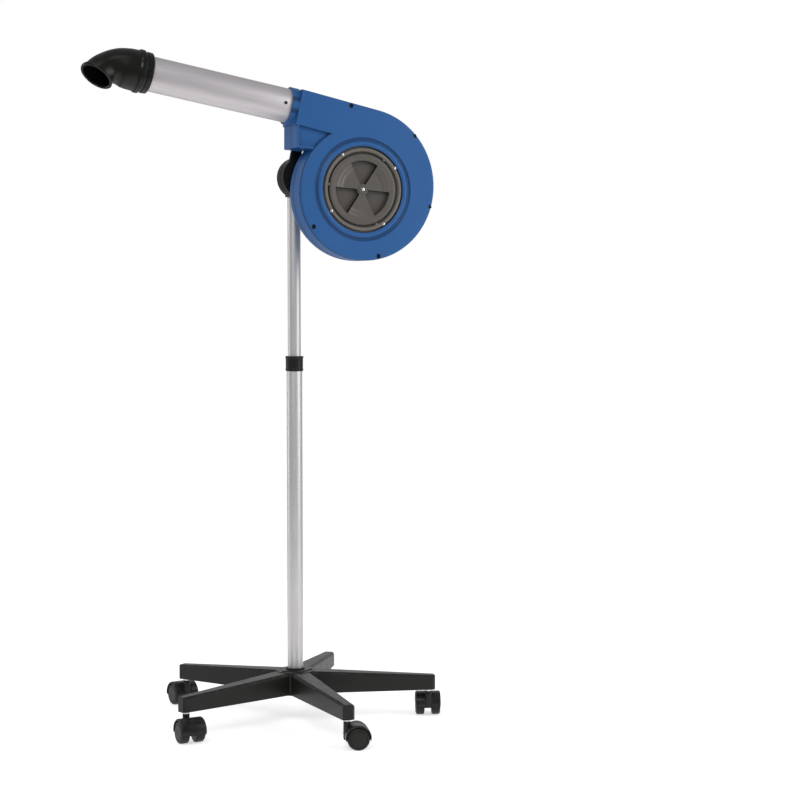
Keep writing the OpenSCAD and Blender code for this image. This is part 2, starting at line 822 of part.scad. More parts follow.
// Stations along the outside: the body, then the rolled rim
stations = concat(
    [for (k = [0:path_rings - 1]) [k / path_rings * (1 - 2 * rim_r / nozzle_path), 0]],
    [for (b = [0:30:150]) [1 - rim_r * (1 + cos(b)) / nozzle_path, 1.4 + rim_r * sin(b)]]);

// Hollow elbow: an outer and an inner surface of rings, closed at both ends
module elbow() {
    n = path_sides;
    rows = len(stations);
    outer = [for (st = stations) for (j = [0:n - 1])
        ring_point(st[0], radius_at(st[0]) + st[1], j * 360 / n)];
    inner = [for (st = stations) for (j = [0:n - 1]) ring_point(st[0], inner_at(st[0]), j * 360 / n)];
    half = len(outer);
    last = (rows - 1) * n;
    skin = [for (k = [0:rows - 2]) for (j = [0:n - 1]) let (a = k * n + j, b = k * n + (j + 1) % n)
        each [[a, b + n, b], [a, a + n, b + n]]];
    lining = [for (f = skin) [half + f[2], half + f[1], half + f[0]]];
    ends = [for (j = [0:n - 1]) let (i = (j + 1) % n)
        each [[half + j, i, half + i], [half + j, j, i],
              [last + j, half + last + i, last + i], [last + j, half + last + j, half + last + i]]];
    polyhedron(points = concat(outer, inner), faces = concat(skin, lining, ends));
}

// Slip-on nozzle: ribbed sleeve, elbow and rolled mouth
module nozzle() {
    color(dark_plastic) tube_frame() rotate([-nozzle_roll, 0, 0]) {
        difference() {
            translate([-sleeve_start, 0, 0]) rotate([0, -90, 0]) rotate_extrude()
                polygon([[36, 0], [42.5, 0], [44.5, 2], [45, 4], [45, 12], [42.3, 13], [42.3, 18.5],
                         [45.5, 19.5], [47.4, 21.5], [47.4, 26], [46, 29], [44.7, 30.5], [44.7, 43],
                         [36, 43]]);
            translate([-sleeve_start + over, 0, 0]) rotate([0, -90, 0])
                cylinder(r = tube_r + running_gap, h = tube_reach - sleeve_start + 0.3 + over);
            translate([-sleeve_start, 0, 0]) rotate([0, -90, 0]) cylinder(r = bore_r + 0.3, h = 60);
        }
        elbow();
    }
}

// Steel band in the sleeve's groove, with its screw block
module nozzle_clamp() {
    color(bright_steel) tube_frame() rotate([-nozzle_roll, 0, 0]) {
        translate([-sleeve_start - 13.4, 0, 0]) rotate([0, -90, 0]) ring(43.2, 42.35, 4.6);
        translate([-sleeve_start - 18, -4, 43]) cube([4.6, 8, 5]);
    }
}

// ---------- All nodes ----------

star_base();
caster_stems();
base_bolt();
lower_tube();
height_collar();
collar_knob();
collar_bush();
upper_tube();
guide_plug();
tilt_hub();
tilt_plate();
plate_screws();
friction_washer();
tilt_bolt();
tilt_knob();
rear_shell();
front_shell();
shell_screws();
inlet_ring();
ring_screws();
grille_plate();
shutter_disc();
shutter_screw();
impeller();
motor_shaft();
motor_bearings();
motor();
motor_cover();
cover_screws();
blower_switch();
heat_switch();
cord_gland();
heater_frame();
heater_coils();
outlet_tube();
tube_screws();
nozzle();
nozzle_clamp();
for (i = [0:arm_count - 1]) {
    caster_hood(i);
    caster_axle(i);
    caster_wheel(i, 1);
    caster_wheel(i, -1);
}
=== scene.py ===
# Pet dryer on a rolling stand: finishes, detailed pieces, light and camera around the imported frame
import json
import math

import bmesh
import bpy
import numpy as np
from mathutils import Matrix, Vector


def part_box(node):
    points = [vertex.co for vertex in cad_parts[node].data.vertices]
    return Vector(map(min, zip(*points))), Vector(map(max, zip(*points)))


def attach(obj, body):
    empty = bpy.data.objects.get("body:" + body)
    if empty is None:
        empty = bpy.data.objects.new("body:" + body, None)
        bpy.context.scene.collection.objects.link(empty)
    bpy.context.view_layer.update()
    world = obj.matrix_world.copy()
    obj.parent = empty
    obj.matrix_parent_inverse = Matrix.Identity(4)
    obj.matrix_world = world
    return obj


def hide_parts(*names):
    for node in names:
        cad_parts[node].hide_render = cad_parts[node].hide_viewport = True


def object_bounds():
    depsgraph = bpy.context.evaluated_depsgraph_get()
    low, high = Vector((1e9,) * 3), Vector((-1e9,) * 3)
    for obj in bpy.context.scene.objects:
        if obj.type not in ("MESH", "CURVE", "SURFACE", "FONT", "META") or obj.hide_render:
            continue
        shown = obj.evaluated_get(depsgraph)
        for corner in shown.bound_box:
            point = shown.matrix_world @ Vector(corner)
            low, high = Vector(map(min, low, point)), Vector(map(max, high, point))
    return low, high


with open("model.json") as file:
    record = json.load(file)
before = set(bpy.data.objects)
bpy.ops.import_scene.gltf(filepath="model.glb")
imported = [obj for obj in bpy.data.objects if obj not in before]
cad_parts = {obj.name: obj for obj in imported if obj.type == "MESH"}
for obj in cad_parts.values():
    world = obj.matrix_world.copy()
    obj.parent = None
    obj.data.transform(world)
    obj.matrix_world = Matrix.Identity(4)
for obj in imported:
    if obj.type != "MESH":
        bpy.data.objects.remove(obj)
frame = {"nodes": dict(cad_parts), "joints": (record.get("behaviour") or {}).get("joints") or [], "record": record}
cadLow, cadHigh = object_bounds()
joints = {joint["name"]: joint for joint in frame["joints"]}
scene = bpy.context.scene


camera = {
    "place": (-1.4975, -4.1144, 0.9899),  # metres, in the model's frame
    "turnRight": 23.19,  # degrees from looking along +Y
    "lookDown": 3.2,
    "lens": 85.3,
}
studio = {
    "sideLight": {"right": 74, "away": 2.6, "height": 1.5, "size": (1.4, 2.6), "power": 27},
    "frontLight": {"right": -12, "away": 4.2, "height": 4.0, "size": (2.2, 1.6), "power": 64},
    "topLight": {"right": -20, "away": 1.7, "height": 4.1, "size": (2.4, 1.0), "power": 9},
    "leftLight": {"right": -104, "away": 3.0, "height": 1.3, "size": (1.0, 2.8), "power": 20},
    "backLight": {"right": 172, "away": 3.2, "height": 1.6, "size": (3.2, 2.2), "power": 14},
    "skyColour": (0.95, 0.96, 1.0),
    "skyStrength": 0.34,
    "floorColour": (0.90, 0.895, 0.89),
    "floorGlow": 0.57,
    "floorSize": 8,
    "floorFade": (0.75, 2.4),  # metres from the column: solid inside the first, gone outside the second
}


def makeCamera():
    data = bpy.data.cameras.new("camera")
    data.lens = camera["lens"]
    data.clip_end = 200
    made = bpy.data.objects.new("camera", data)
    made.location = camera["place"]
    made.rotation_euler = (math.radians(90 - camera["lookDown"]), 0, -math.radians(camera["turnRight"]))
    scene.collection.objects.link(made)
    scene.camera = made


def makeLight(name, look):
    # place = middle + away * (cos(right) * towards the camera + sin(right) * to its right)
    middle = Vector(((cadLow.x + cadHigh.x) / 2, (cadLow.y + cadHigh.y) / 2, 1.0))
    turn = math.radians(camera["turnRight"])
    towards = Vector((-math.sin(turn), -math.cos(turn), 0))
    rightward = Vector((math.cos(turn), -math.sin(turn), 0))
    angle = math.radians(look["right"])
    data = bpy.data.lights.new(name, "AREA")
    data.shape = "RECTANGLE"
    data.size, data.size_y = look["size"]
    data.energy = look["power"]
    made = bpy.data.objects.new(name, data)
    made.location = middle + look["away"] * (math.cos(angle) * towards + math.sin(angle) * rightward)
    made.location.z = look["height"]
    aim = middle - made.location
    made.rotation_euler = aim.to_track_quat("-Z", "Y").to_euler()
    made.visible_camera = False
    scene.collection.objects.link(made)


def makeSky():
    world = bpy.data.worlds.new("studio")
    scene.world = world
    world.use_nodes = True
    tree = world.node_tree
    tree.nodes.clear()
    seen = tree.nodes.new("ShaderNodeBackground")
    seen.inputs["Color"].default_value = (1, 1, 1, 1)
    lighting = tree.nodes.new("ShaderNodeBackground")
    lighting.inputs["Color"].default_value = (*studio["skyColour"], 1)
    lighting.inputs["Strength"].default_value = studio["skyStrength"]
    path = tree.nodes.new("ShaderNodeLightPath")
    both = tree.nodes.new("ShaderNodeMixShader")
    output = tree.nodes.new("ShaderNodeOutputWorld")
    tree.links.new(path.outputs["Is Camera Ray"], both.inputs[0])
    tree.links.new(lighting.outputs[0], both.inputs[1])
    tree.links.new(seen.outputs[0], both.inputs[2])
    tree.links.new(both.outputs[0], output.inputs[0])


class Value:
    # a number socket; arithmetic on it adds Math nodes to its finish

    def __init__(self, finish, socket):
        self.finish, self.socket = finish, socket

    def __add__(self, other):
        return self.finish.maths("ADD", self, other)

    def __sub__(self, other):
        return self.finish.maths("SUBTRACT", self, other)

    def __rsub__(self, other):
        return self.finish.maths("SUBTRACT", other, self)

    def __mul__(self, other):
        return self.finish.maths("MULTIPLY", self, other)

    __radd__, __rmul__ = __add__, __mul__

    def between(self, low, high):
        # (value - low) / (high - low), kept from 0 to 1
        span = self.finish.node("MapRange", {"clamp": True}, {0: self, 1: low, 2: high, 3: 0.0, 4: 1.0})
        return Value(self.finish, span.outputs[0])


class Finish:
    # one material: its nodes are made by node(), its arithmetic by Value

    def __init__(self, name):
        self.material = bpy.data.materials.new(name)
        self.material.use_nodes = True
        self.tree = self.material.node_tree
        self.tree.nodes.clear()
        self.place = self.node("TexCoord").outputs["Object"]

    def node(self, kind, settings=None, values=None):
        made = self.tree.nodes.new("ShaderNode" + kind)
        for key, setting in (settings or {}).items():
            setattr(made, key, setting)
        for key, value in (values or {}).items():
            value = value.socket if isinstance(value, Value) else value
            if isinstance(value, bpy.types.NodeSocket):
                self.tree.links.new(value, made.inputs[key])
            elif isinstance(value, tuple) and made.inputs[key].type == "RGBA":
                made.inputs[key].default_value = (*value, 1)
            else:
                made.inputs[key].default_value = value
        return made

    def maths(self, operation, first, second):
        return Value(self, self.node("Math", {"operation": operation}, {0: first, 1: second}).outputs[0])

    def noise(self, scale, detail=3.0, stretch=None, turn=(0, 0, 0)):
        # stretch > 1 along an axis makes the pattern finer along it
        place = self.place
        if stretch:
            settings = {"vector_type": "POINT"}
            place = self.node("Mapping", settings, {0: place, 2: turn}).outputs[0]
            place = self.node("VectorMath", {"operation": "MULTIPLY"}, {0: place, 1: stretch}).outputs[0]
        made = self.node("TexNoise", {}, {"Vector": place, "Scale": scale, "Detail": detail})
        return Value(self, made.outputs["Fac"])

    def mixed(self, factor, first, second):
        made = self.node("Mix", {"data_type": "RGBA"}, {0: factor, 6: first, 7: second})
        return made.outputs[2]

    def upward(self):
        # 1 on faces that look up, 0 on sides and undersides
        normal = self.node("NewGeometry").outputs["Normal"]
        height = self.node("SeparateXYZ", {}, {0: normal}).outputs["Z"]
        return Value(self, height).between(0.55, 1.0)

    def depth(self):
        # place along the direction from the grille to the motor
        return Value(self, self.node("SeparateXYZ", {}, {0: self.place}).outputs["Y"])

    def away(self, axis):
        # distance from the axis (x, z), which runs along the depth
        flat = self.node("VectorMath", {"operation": "MULTIPLY"}, {0: self.place, 1: (1, 0, 1)}).outputs[0]
        ends = {0: flat, 1: (axis[0], 0, axis[1])}
        return Value(self, self.node("VectorMath", {"operation": "DISTANCE"}, ends).outputs["Value"])

    def near(self, value, middle, half, blur):
        # 1 where the value is within half of middle, 0 beyond blur more
        return 1 - self.maths("ABSOLUTE", value - middle, 0.0).between(half, half + blur)

    def softened(self, radius):
        # the normal of edges rounded to this radius, and a mask that is 1 on such edges
        soft = self.node("Bevel", {"samples": 4}, {"Radius": radius}).outputs[0]
        flat = self.node("NewGeometry").outputs["Normal"]
        along = self.node("VectorMath", {"operation": "DOT_PRODUCT"}, {0: soft, 1: flat})
        return soft, Value(self, along.outputs["Value"]).between(0.995, 0.8)

    def bumped(self, height, depth, normal, strength=1.0):
        return self.node("Bump", {}, {"Height": height, "Distance": depth, "Strength": strength,
                                      "Normal": normal}).outputs[0]

    def finished(self, colour, roughness, normal, **fixed):
        values = {"Base Color": colour, "Roughness": roughness, "Normal": normal}
        values.update({key.replace("_", " "): value for key, value in fixed.items()})
        shader = self.node("BsdfPrincipled", {}, values)
        self.node("OutputMaterial", {}, {"Surface": shader.outputs[0]})
        return self.material


def plastic(name, look):
    # colour = base, clouded by slow noise, paler on edges (edge wear with a painted highlight) and in scuffs,
    # dusty and painted lighter on top; each line of the look is a band of painted shade (middle, half width, blur)
    # of the depth, or of the distance from the fan's axis
    finish = Finish(name)
    soft, edge = finish.softened(look["edge"])
    cloud = finish.noise(look["cloudScale"], 2)
    grain = finish.noise(look["grainScale"], 2)
    smear = finish.noise(34, 4)
    scuffs = finish.noise(120, 5, (1, 1, 6)).between(0.63, 0.72)
    # paler edges and scuffs: real wear, and along the edges also a painted highlight
    wornAndEdgeHighlight = (edge * look["wear"] * finish.noise(160, 3) + scuffs * look["scuffs"]).between(0, 1)
    base = finish.mixed(cloud.between(0.3, 0.7), look["colour"], look["clouded"])
    base = finish.mixed(wornAndEdgeHighlight, base, look["wornAndHighlightColour"])
    # paler on faces that look up: dust, and with it a painted lighter top where light falls from above
    dust = finish.upward() * finish.noise(70, 5).between(0.35, 0.75) * look["dust"]
    base = finish.mixed(dust, base, (0.42, 0.40, 0.37))
    roughness = look["roughness"] + (smear - 0.5) * look["smear"] + wornAndEdgeHighlight * 0.12 + dust * 0.3
    normal = finish.bumped(grain + scuffs * 0.3, look["grainDepth"], soft)
    # each line darkens the colour as painted shade: in the shells' seam, along the face's edge, in the groove
    # round the inlet
    for line in look.get("lines", ()):
        away = finish.away(fanAxis)
        if "ring" in line:
            front = finish.depth().between(line["before"] + 0.001, line["before"])
            paintedShade = finish.near(away, *line["ring"]) * front
        else:
            beyond = away.between(line["outside"] - 0.002, line["outside"])
            paintedShade = finish.near(finish.depth(), *line["depth"]) * beyond
        paintedShade = paintedShade * line["dark"]
        base = finish.mixed(paintedShade, base, tuple(0.25 * channel for channel in look["colour"]))
        normal = finish.bumped(1 - paintedShade, 0.0006, normal, 0.6)
    return finish.finished(base, roughness, normal, Specular_IOR_Level=look["specular"])


fanAxis = (joints["fan_spin"]["pos_m"][0], joints["fan_spin"]["pos_m"][2])
# what a plastic has where its own look says nothing else
plasticCommon = {"smear": 0.16, "grainScale": 1500, "grainDepth": 0.00006, "wear": 0.6, "scuffs": 0.1,
                 "dust": 0.1, "edge": 0.0005, "cloudScale": 11, "specular": 0.5}
plastics = {
    "basePlastic": {"colour": (0.0105, 0.0105, 0.0095), "clouded": (0.014, 0.0135, 0.012),
        "wornAndHighlightColour": (0.07, 0.07, 0.065), "roughness": 0.4, "grainDepth": 0.00008, "wear": 0.7,
        "scuffs": 0.14, "dust": 0.16, "edge": 0.0012, "specular": 0.24},
    "jointPlastic": {"colour": (0.008, 0.008, 0.0075), "clouded": (0.011, 0.011, 0.0105),
        "wornAndHighlightColour": (0.05, 0.05, 0.05), "roughness": 0.42, "smear": 0.14, "grainScale": 1700,
        "grainDepth": 0.00008, "wear": 0.5, "dust": 0.06, "edge": 0.0012, "specular": 0.2},
    "knobPlastic": {"colour": (0.008, 0.008, 0.008), "clouded": (0.012, 0.012, 0.011),
        "wornAndHighlightColour": (0.06, 0.06, 0.06), "roughness": 0.36, "grainScale": 1900, "dust": 0.05,
        "edge": 0.0006, "specular": 0.32},
    "housingBlue": {"colour": (0.02, 0.111, 0.325), "clouded": (0.025, 0.122, 0.345),
        "wornAndHighlightColour": (0.12, 0.25, 0.5), "roughness": 0.38, "smear": 0.1, "grainScale": 1300,
        "wear": 0.35, "scuffs": 0.05, "dust": 0.05, "edge": 0.0015, "cloudScale": 6, "specular": 0.32,
        # painted shade: dark lines in the shells' seam, along the face's edge and in the groove round the inlet
        "lines": [
            {"depth": (-0.103, 0.0016, 0.0022), "outside": 0.128, "dark": 0.9},
            {"depth": (-0.1428, 0.001, 0.0014), "outside": 0.128, "dark": 0.8},
            {"ring": (0.112, 0.0022, 0.0028), "before": -0.138, "dark": 0.6}]},
    # darker than the shutter's same grey: painted shade of the plate recessed behind the openings
    "grillePlastic": {"colour": (0.082, 0.073, 0.065), "clouded": (0.098, 0.088, 0.079),
        "wornAndHighlightColour": (0.16, 0.145, 0.13), "roughness": 0.46, "smear": 0.14, "grainScale": 1800,
        "wear": 0.4, "specular": 0.35},
    "ringPlastic": {"colour": (0.155, 0.138, 0.116), "clouded": (0.182, 0.162, 0.138),
        "wornAndHighlightColour": (0.42, 0.39, 0.36), "roughness": 0.36, "smear": 0.14, "grainScale": 1800,
        "scuffs": 0.12},
    "shutterPlastic": {"colour": (0.102, 0.091, 0.079), "clouded": (0.125, 0.112, 0.098),
        "wornAndHighlightColour": (0.34, 0.32, 0.3), "roughness": 0.34, "grainScale": 1800, "wear": 0.7,
        "scuffs": 0.14},
    "nozzlePlastic": {"colour": (0.0055, 0.0055, 0.0042), "clouded": (0.008, 0.008, 0.006),
        "wornAndHighlightColour": (0.05, 0.05, 0.045), "roughness": 0.25, "smear": 0.1, "grainScale": 700,
        "grainDepth": 0.00005, "wear": 0.5, "scuffs": 0.08, "dust": 0.04, "specular": 0.27},
    "casterPlastic": {"colour": (0.008, 0.008, 0.0072), "clouded": (0.012, 0.012, 0.011),
        "wornAndHighlightColour": (0.07, 0.07, 0.065), "roughness": 0.3, "grainScale": 1600, "grainDepth": 0.00005,
        "scuffs": 0.2, "dust": 0.12, "edge": 0.0007, "specular": 0.26},
    "wheelPlastic": {"colour": (0.009, 0.009, 0.008), "clouded": (0.015, 0.0145, 0.013),
        "wornAndHighlightColour": (0.09, 0.085, 0.075), "roughness": 0.44, "smear": 0.2, "grainScale": 900,
        "grainDepth": 0.00012, "wear": 0.8, "scuffs": 0.3, "edge": 0.0008, "specular": 0.24},
    "impellerPlastic": {"colour": (0.02, 0.02, 0.022), "clouded": (0.028, 0.028, 0.029),
        "wornAndHighlightColour": (0.1, 0.1, 0.1), "roughness": 0.5, "smear": 0.1, "grainDepth": 0.00008, "wear": 0.3,
        "dust": 0.35, "edge": 0.0004},
    "switchPlastic": {"colour": (0.008, 0.008, 0.008), "clouded": (0.012, 0.012, 0.012),
        "wornAndHighlightColour": (0.05, 0.05, 0.05), "roughness": 0.2, "smear": 0.12, "grainDepth": 0.00003,
        "wear": 0.4, "scuffs": 0.05, "dust": 0.05, "edge": 0.0006},
}


def drawnMetal(name, look):
    # fine lines along the drawing direction: noise stretched across it, in colour, roughness and bump
    finish = Finish(name)
    soft = finish.softened(0.0004)[0]
    lines = finish.noise(1, 4, look["stretch"], look.get("turn", (0, 0, 0)))
    smear = finish.noise(18, 4)
    marks = finish.noise(240, 5).between(0.66, 0.72)
    base = finish.mixed(lines.between(0.35, 0.65), look["colour"], look["light"])
    base = finish.mixed(marks * 0.25, base, look["marked"])
    roughness = look["roughness"] + (lines - 0.5) * 0.16 + (smear - 0.5) * 0.12 + marks * 0.1
    normal = finish.bumped(lines, look["depth"], soft)
    return finish.finished(base, roughness, normal, Metallic=look["metallic"])


metals = {
    "columnAluminium": {"colour": (0.58, 0.565, 0.56), "light": (0.70, 0.69, 0.685),
                        "marked": (0.42, 0.41, 0.40), "stretch": (1900, 1900, 14),
                        "roughness": 0.46, "depth": 0.000012, "metallic": 0.78},
    "outletAluminium": {"colour": (0.60, 0.565, 0.575), "light": (0.70, 0.665, 0.675),
                        "marked": (0.44, 0.41, 0.42), "stretch": (14, 1900, 1900), "turn": (0, -0.178, 0),
                        "roughness": 0.47, "depth": 0.000012, "metallic": 0.66},
    "zincSteel": {"colour": (0.62, 0.62, 0.62), "light": (0.74, 0.74, 0.73), "marked": (0.45, 0.44, 0.40),
                  "stretch": (900, 900, 900), "roughness": 0.24, "depth": 0.00001, "metallic": 1.0},
    "blackSteel": {"colour": (0.018, 0.018, 0.019), "light": (0.03, 0.03, 0.031), "marked": (0.10, 0.095, 0.09),
                   "stretch": (900, 900, 900), "roughness": 0.38, "depth": 0.00002, "metallic": 0.6},
    "groundSteel": {"colour": (0.52, 0.52, 0.53), "light": (0.64, 0.64, 0.65), "marked": (0.4, 0.4, 0.4),
                    "stretch": (60, 4000, 60), "roughness": 0.22, "depth": 0.00001, "metallic": 1.0},
    "motorSteel": {"colour": (0.10, 0.10, 0.11), "light": (0.13, 0.13, 0.14), "marked": (0.25, 0.24, 0.22),
                   "stretch": (500, 500, 500), "roughness": 0.45, "depth": 0.00005, "metallic": 0.3},
    "heatingWire": {"colour": (0.30, 0.22, 0.18), "light": (0.42, 0.33, 0.27), "marked": (0.2, 0.15, 0.12),
                    "stretch": (700, 700, 700), "roughness": 0.42, "depth": 0.00003, "metallic": 0.8},
}


def pressedFibre(name, dark, light, roughness):
    # layered board: fibres as long noise in two directions
    finish = Finish(name)
    soft = finish.softened(0.0004)[0]
    fibres = finish.noise(1, 5, (260, 900, 1400))
    flakes = finish.noise(420, 4)
    base = finish.mixed((fibres * 0.6 + flakes * 0.4).between(0.35, 0.65), dark, light)
    normal = finish.bumped(fibres + flakes, 0.0001, soft)
    return finish.finished(base, roughness + (flakes - 0.5) * 0.2, normal)


def floorFinish():
    # pale and slightly bright of itself; it fades out with its distance from the column
    finish = Finish("floor")
    cloud = finish.noise(0.6, 3)
    base = finish.mixed(cloud.between(0.3, 0.7), studio["floorColour"],
                        tuple(min(1, channel + 0.015) for channel in studio["floorColour"]))
    away = finish.node("VectorMath", {"operation": "LENGTH"}, {0: finish.place}).outputs["Value"]
    faded = 1 - Value(finish, away).between(*studio["floorFade"])
    flat = finish.node("NewGeometry").outputs["Normal"]
    return finish.finished(base, 0.7, flat, Alpha=faded, Specular_IOR_Level=0.2, Emission_Color=(1.0, 1.0, 1.0),
                           Emission_Strength=studio["floorGlow"])


def makeFloor():
    half = studio["floorSize"] / 2
    mesh = bpy.data.meshes.new("floor")
    corners = [(-half, -half, 0), (half, -half, 0), (half, half, 0), (-half, half, 0)]
    mesh.from_pydata(corners, [], [(0, 1, 2, 3)])
    mesh.materials.append(floorFinish())
    made = bpy.data.objects.new("floor", mesh)
    scene.collection.objects.link(made)


makeCamera()
for lightName in ("sideLight", "frontLight", "topLight", "leftLight", "backLight"):
    makeLight(lightName, studio[lightName])
makeSky()
makeFloor()
scene.view_settings.view_transform = "Standard"
print("stage: camera, light and floor made")

finishes = {name: plastic(name, {**plasticCommon, **look}) for name, look in plastics.items()}
finishes.update({name: drawnMetal(name, look) for name, look in metals.items()})
finishes["fibre"] = pressedFibre("fibre", (0.10, 0.055, 0.03), (0.24, 0.15, 0.09), 0.75)
finishes["micaBoard"] = pressedFibre("micaBoard", (0.34, 0.27, 0.17), (0.55, 0.47, 0.33), 0.5)

# the record's slot of each finish, such as housing_blue for housingBlue
slotOf = {name: "".join("_" + c.lower() if c.isupper() else c for c in name) for name in finishes}
finishOf = {slot: finishes[name] for name, slot in slotOf.items()}
for part in frame["record"]["subparts"]:
    node = frame["nodes"][part["node"]]
    node.data.materials.clear()
    node.data.materials.append(finishOf[part["material_slot"]])
print("stage: finishes made for", len(frame["nodes"]), "nodes")


def unit(vector):
    vector = np.asarray(vector, float)
    return vector / np.linalg.norm(vector)


class Place:
    # a local frame: world = origin + x * across + y * up + z * outward

    def __init__(self, origin, outward, upward):
        outward = unit(outward)
        across = unit(np.cross(upward, outward))
        self.axes = np.array([across, np.cross(outward, across), outward])
        self.origin = np.asarray(origin, float)

    def __call__(self, points):
        return np.asarray(points) @ self.axes + self.origin

    def along(self, distance):
        # the same frame, moved by this distance along its outward direction
        return Place(self.origin + distance * self.axes[2], self.axes[2], self.axes[1])


def placeOf(jointName, upward):
    joint = joints[jointName]
    return Place(joint["pos_m"], joint["axis"], upward)


def rounded(corners, steps=6):
    # closed outline; a corner (x, y, radius) is an arc about corner + bisector * radius / sin(half angle)
    arcs = []
    for k, (x, y, radius) in enumerate(corners):
        corner = np.array([x, y], float)
        before = unit(np.array(corners[k - 1][:2]) - corner)
        after = unit(np.array(corners[(k + 1) % len(corners)][:2]) - corner)
        half = 0.5 * math.acos(np.clip(before @ after, -1, 1))
        if radius == 0 or half > 1.55:
            arcs.append(corner[None])
            continue
        centre = corner + unit(before + after) * radius / math.sin(half)
        start = corner + before * radius / math.tan(half) - centre
        end = corner + after * radius / math.tan(half) - centre
        sweep = math.pi - 2 * half
        part = np.linspace(0, 1, steps)[:, None]
        along = np.sin((1 - part) * sweep) * start + np.sin(part * sweep) * end
        arcs.append(centre + along / math.sin(sweep))
    return np.vstack(arcs)


def quads(points, closedRows=False, closedTurn=True):
    # points[i, j] are joined by faces (i, j), (i, j + 1), (i + 1, j + 1), (i + 1, j)
    rows, turns = points.shape[:2]
    i = np.arange(rows if closedRows else rows - 1)[:, None]
    j = np.arange(turns if closedTurn else turns - 1)[None, :]
    nextRow, nextTurn = (i + 1) % rows, (j + 1) % turns
    faces = np.stack([i * turns + j, i * turns + nextTurn,
                      nextRow * turns + nextTurn, nextRow * turns + j], -1)
    return points.reshape(-1, 3), faces.reshape(-1, 4)


def lathe(profile, place, closed=True, count=72):
    # x = r cos t, y = r sin t, z = h for each (r, h) of the profile
    turn = np.linspace(0, 2 * math.pi, count, endpoint=False)
    radius, height = np.asarray(profile, float).T[:, :, None]
    points = np.stack([radius * np.cos(turn), radius * np.sin(turn), height + 0 * turn], -1)
    return quads(place(points), closedRows=closed)


def tube(path, radius, sides=10):
    # a ring of this radius about each point of the path, across its direction; the ends close to points
    path = np.asarray(path, float)
    ahead = np.gradient(path, axis=0)
    ahead /= np.linalg.norm(ahead, axis=1)[:, None]
    side = np.cross(ahead, (0.31, 0.87, 0.38))
    side /= np.linalg.norm(side, axis=1)[:, None]
    over = np.cross(ahead, side)
    turn = np.linspace(0, 2 * math.pi, sides, endpoint=False)[None, :, None]
    radii = np.full(len(path), radius)
    radii[[0, -1]] = 0
    spokes = np.cos(turn) * side[:, None] + np.sin(turn) * over[:, None]
    return quads(path[:, None] + radii[:, None, None] * spokes)


def slab(outline, low, high, place):
    # a closed outline (x, y) pulled from z = low to z = high, with one face at each end
    count = len(outline)
    walls = np.stack([np.column_stack([outline, np.full(count, z)]) for z in (low, high)])
    points, faces = quads(place(walls))
    return points, faces.tolist() + [list(range(count))[::-1], list(range(count, 2 * count))]


def polarSolid(radii, turns, top, bottom, solidAt, place):
    # solid between the heights top(r, t) and bottom(r, t), on the cells of a polar grid
    # where solidAt(r, t) is true
    r, t = np.meshgrid(radii, turns, indexing="ij")
    count = len(turns)
    flat = np.stack([r * np.cos(t), r * np.sin(t)], -1)
    points = np.concatenate([np.concatenate([flat, height(r, t)[..., None]], -1).reshape(-1, 3)
                             for height in (top, bottom)])
    middleR = (radii[1:] + radii[:-1])[:, None] / 2
    middleT = (turns + np.append(turns[1:], turns[0] + 2 * math.pi))[None, :] / 2
    kept = solidAt(middleR + 0 * middleT, middleT + 0 * middleR)
    i, j = np.meshgrid(np.arange(len(radii) - 1), np.arange(count), indexing="ij")
    after = (j + 1) % count
    cells = np.stack([i * count + j, (i + 1) * count + j, (i + 1) * count + after, i * count + after], -1)
    shift = r.size
    faces = [cells[kept], cells[kept][:, ::-1] + shift]
    edge = kept != np.roll(kept, -1, 1)
    line = np.stack([i * count + after, (i + 1) * count + after], -1)[edge]
    faces.append(np.column_stack([line, line[:, ::-1] + shift]))
    outer = np.vstack([kept, np.zeros(count, bool)]) != np.vstack([np.zeros(count, bool), kept])
    i, j = np.nonzero(outer)
    line = np.stack([i * count + j, i * count + (j + 1) % count], -1)
    faces.append(np.column_stack([line, line[:, ::-1] + shift]))
    return place(points), np.vstack(faces)


def makePiece(name, body, slot, parts, replaced=(), bevel=0.0, sharp=38):
    # parts are (points, faces) shells; each is welded and its faces are turned outwards
    points, faces, start = [], [], 0
    for shell, cells in parts:
        points.append(shell)
        faces += [[start + corner for corner in cell] for cell in np.asarray(cells, object).tolist()]
        start += len(shell)
    mesh = bpy.data.meshes.new(name)
    mesh.from_pydata(np.vstack(points).tolist(), [], faces)
    work = bmesh.new()
    work.from_mesh(mesh)
    bmesh.ops.remove_doubles(work, verts=work.verts, dist=2e-6)
    bmesh.ops.delete(work, geom=[v for v in work.verts if not v.link_faces], context="VERTS")
    bmesh.ops.recalc_face_normals(work, faces=work.faces)
    work.to_mesh(mesh)
    work.free()
    mesh.shade_smooth()
    mesh.set_sharp_from_angle(angle=math.radians(sharp))
    mesh.materials.append(finishOf[slot])
    made = bpy.data.objects.new(name, mesh)
    scene.collection.objects.link(made)
    if bevel:
        finishing = made.modifiers.new("edges", "BEVEL")
        finishing.width = bevel
        finishing.segments = 2
        finishing.limit_method = "ANGLE"
        finishing.angle_limit = math.radians(40)
        finishing.harden_normals = True
    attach(made, body)
    if replaced:
        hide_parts(*replaced)
    return made


def solidsOf(nodeName, reach):
    # the node's separate solids, told apart by the distance between them: the points of each
    mesh = frame["nodes"][nodeName].data
    points = np.empty(len(mesh.vertices) * 3)
    mesh.vertices.foreach_get("co", points)
    points = points.reshape(-1, 3)
    found = []
    while len(points):
        near = np.linalg.norm(points - points[0], axis=1) < reach
        found.append(points[near])
        points = points[~near]
    return found


def ramp(value, start, width):
    # 0 at start, 1 at start + width, straight between them
    return np.clip((value - start) / width, 0, 1)


def middleOf(nodeName):
    lowest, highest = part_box(nodeName)
    return (np.array(lowest) + np.array(highest)) / 2


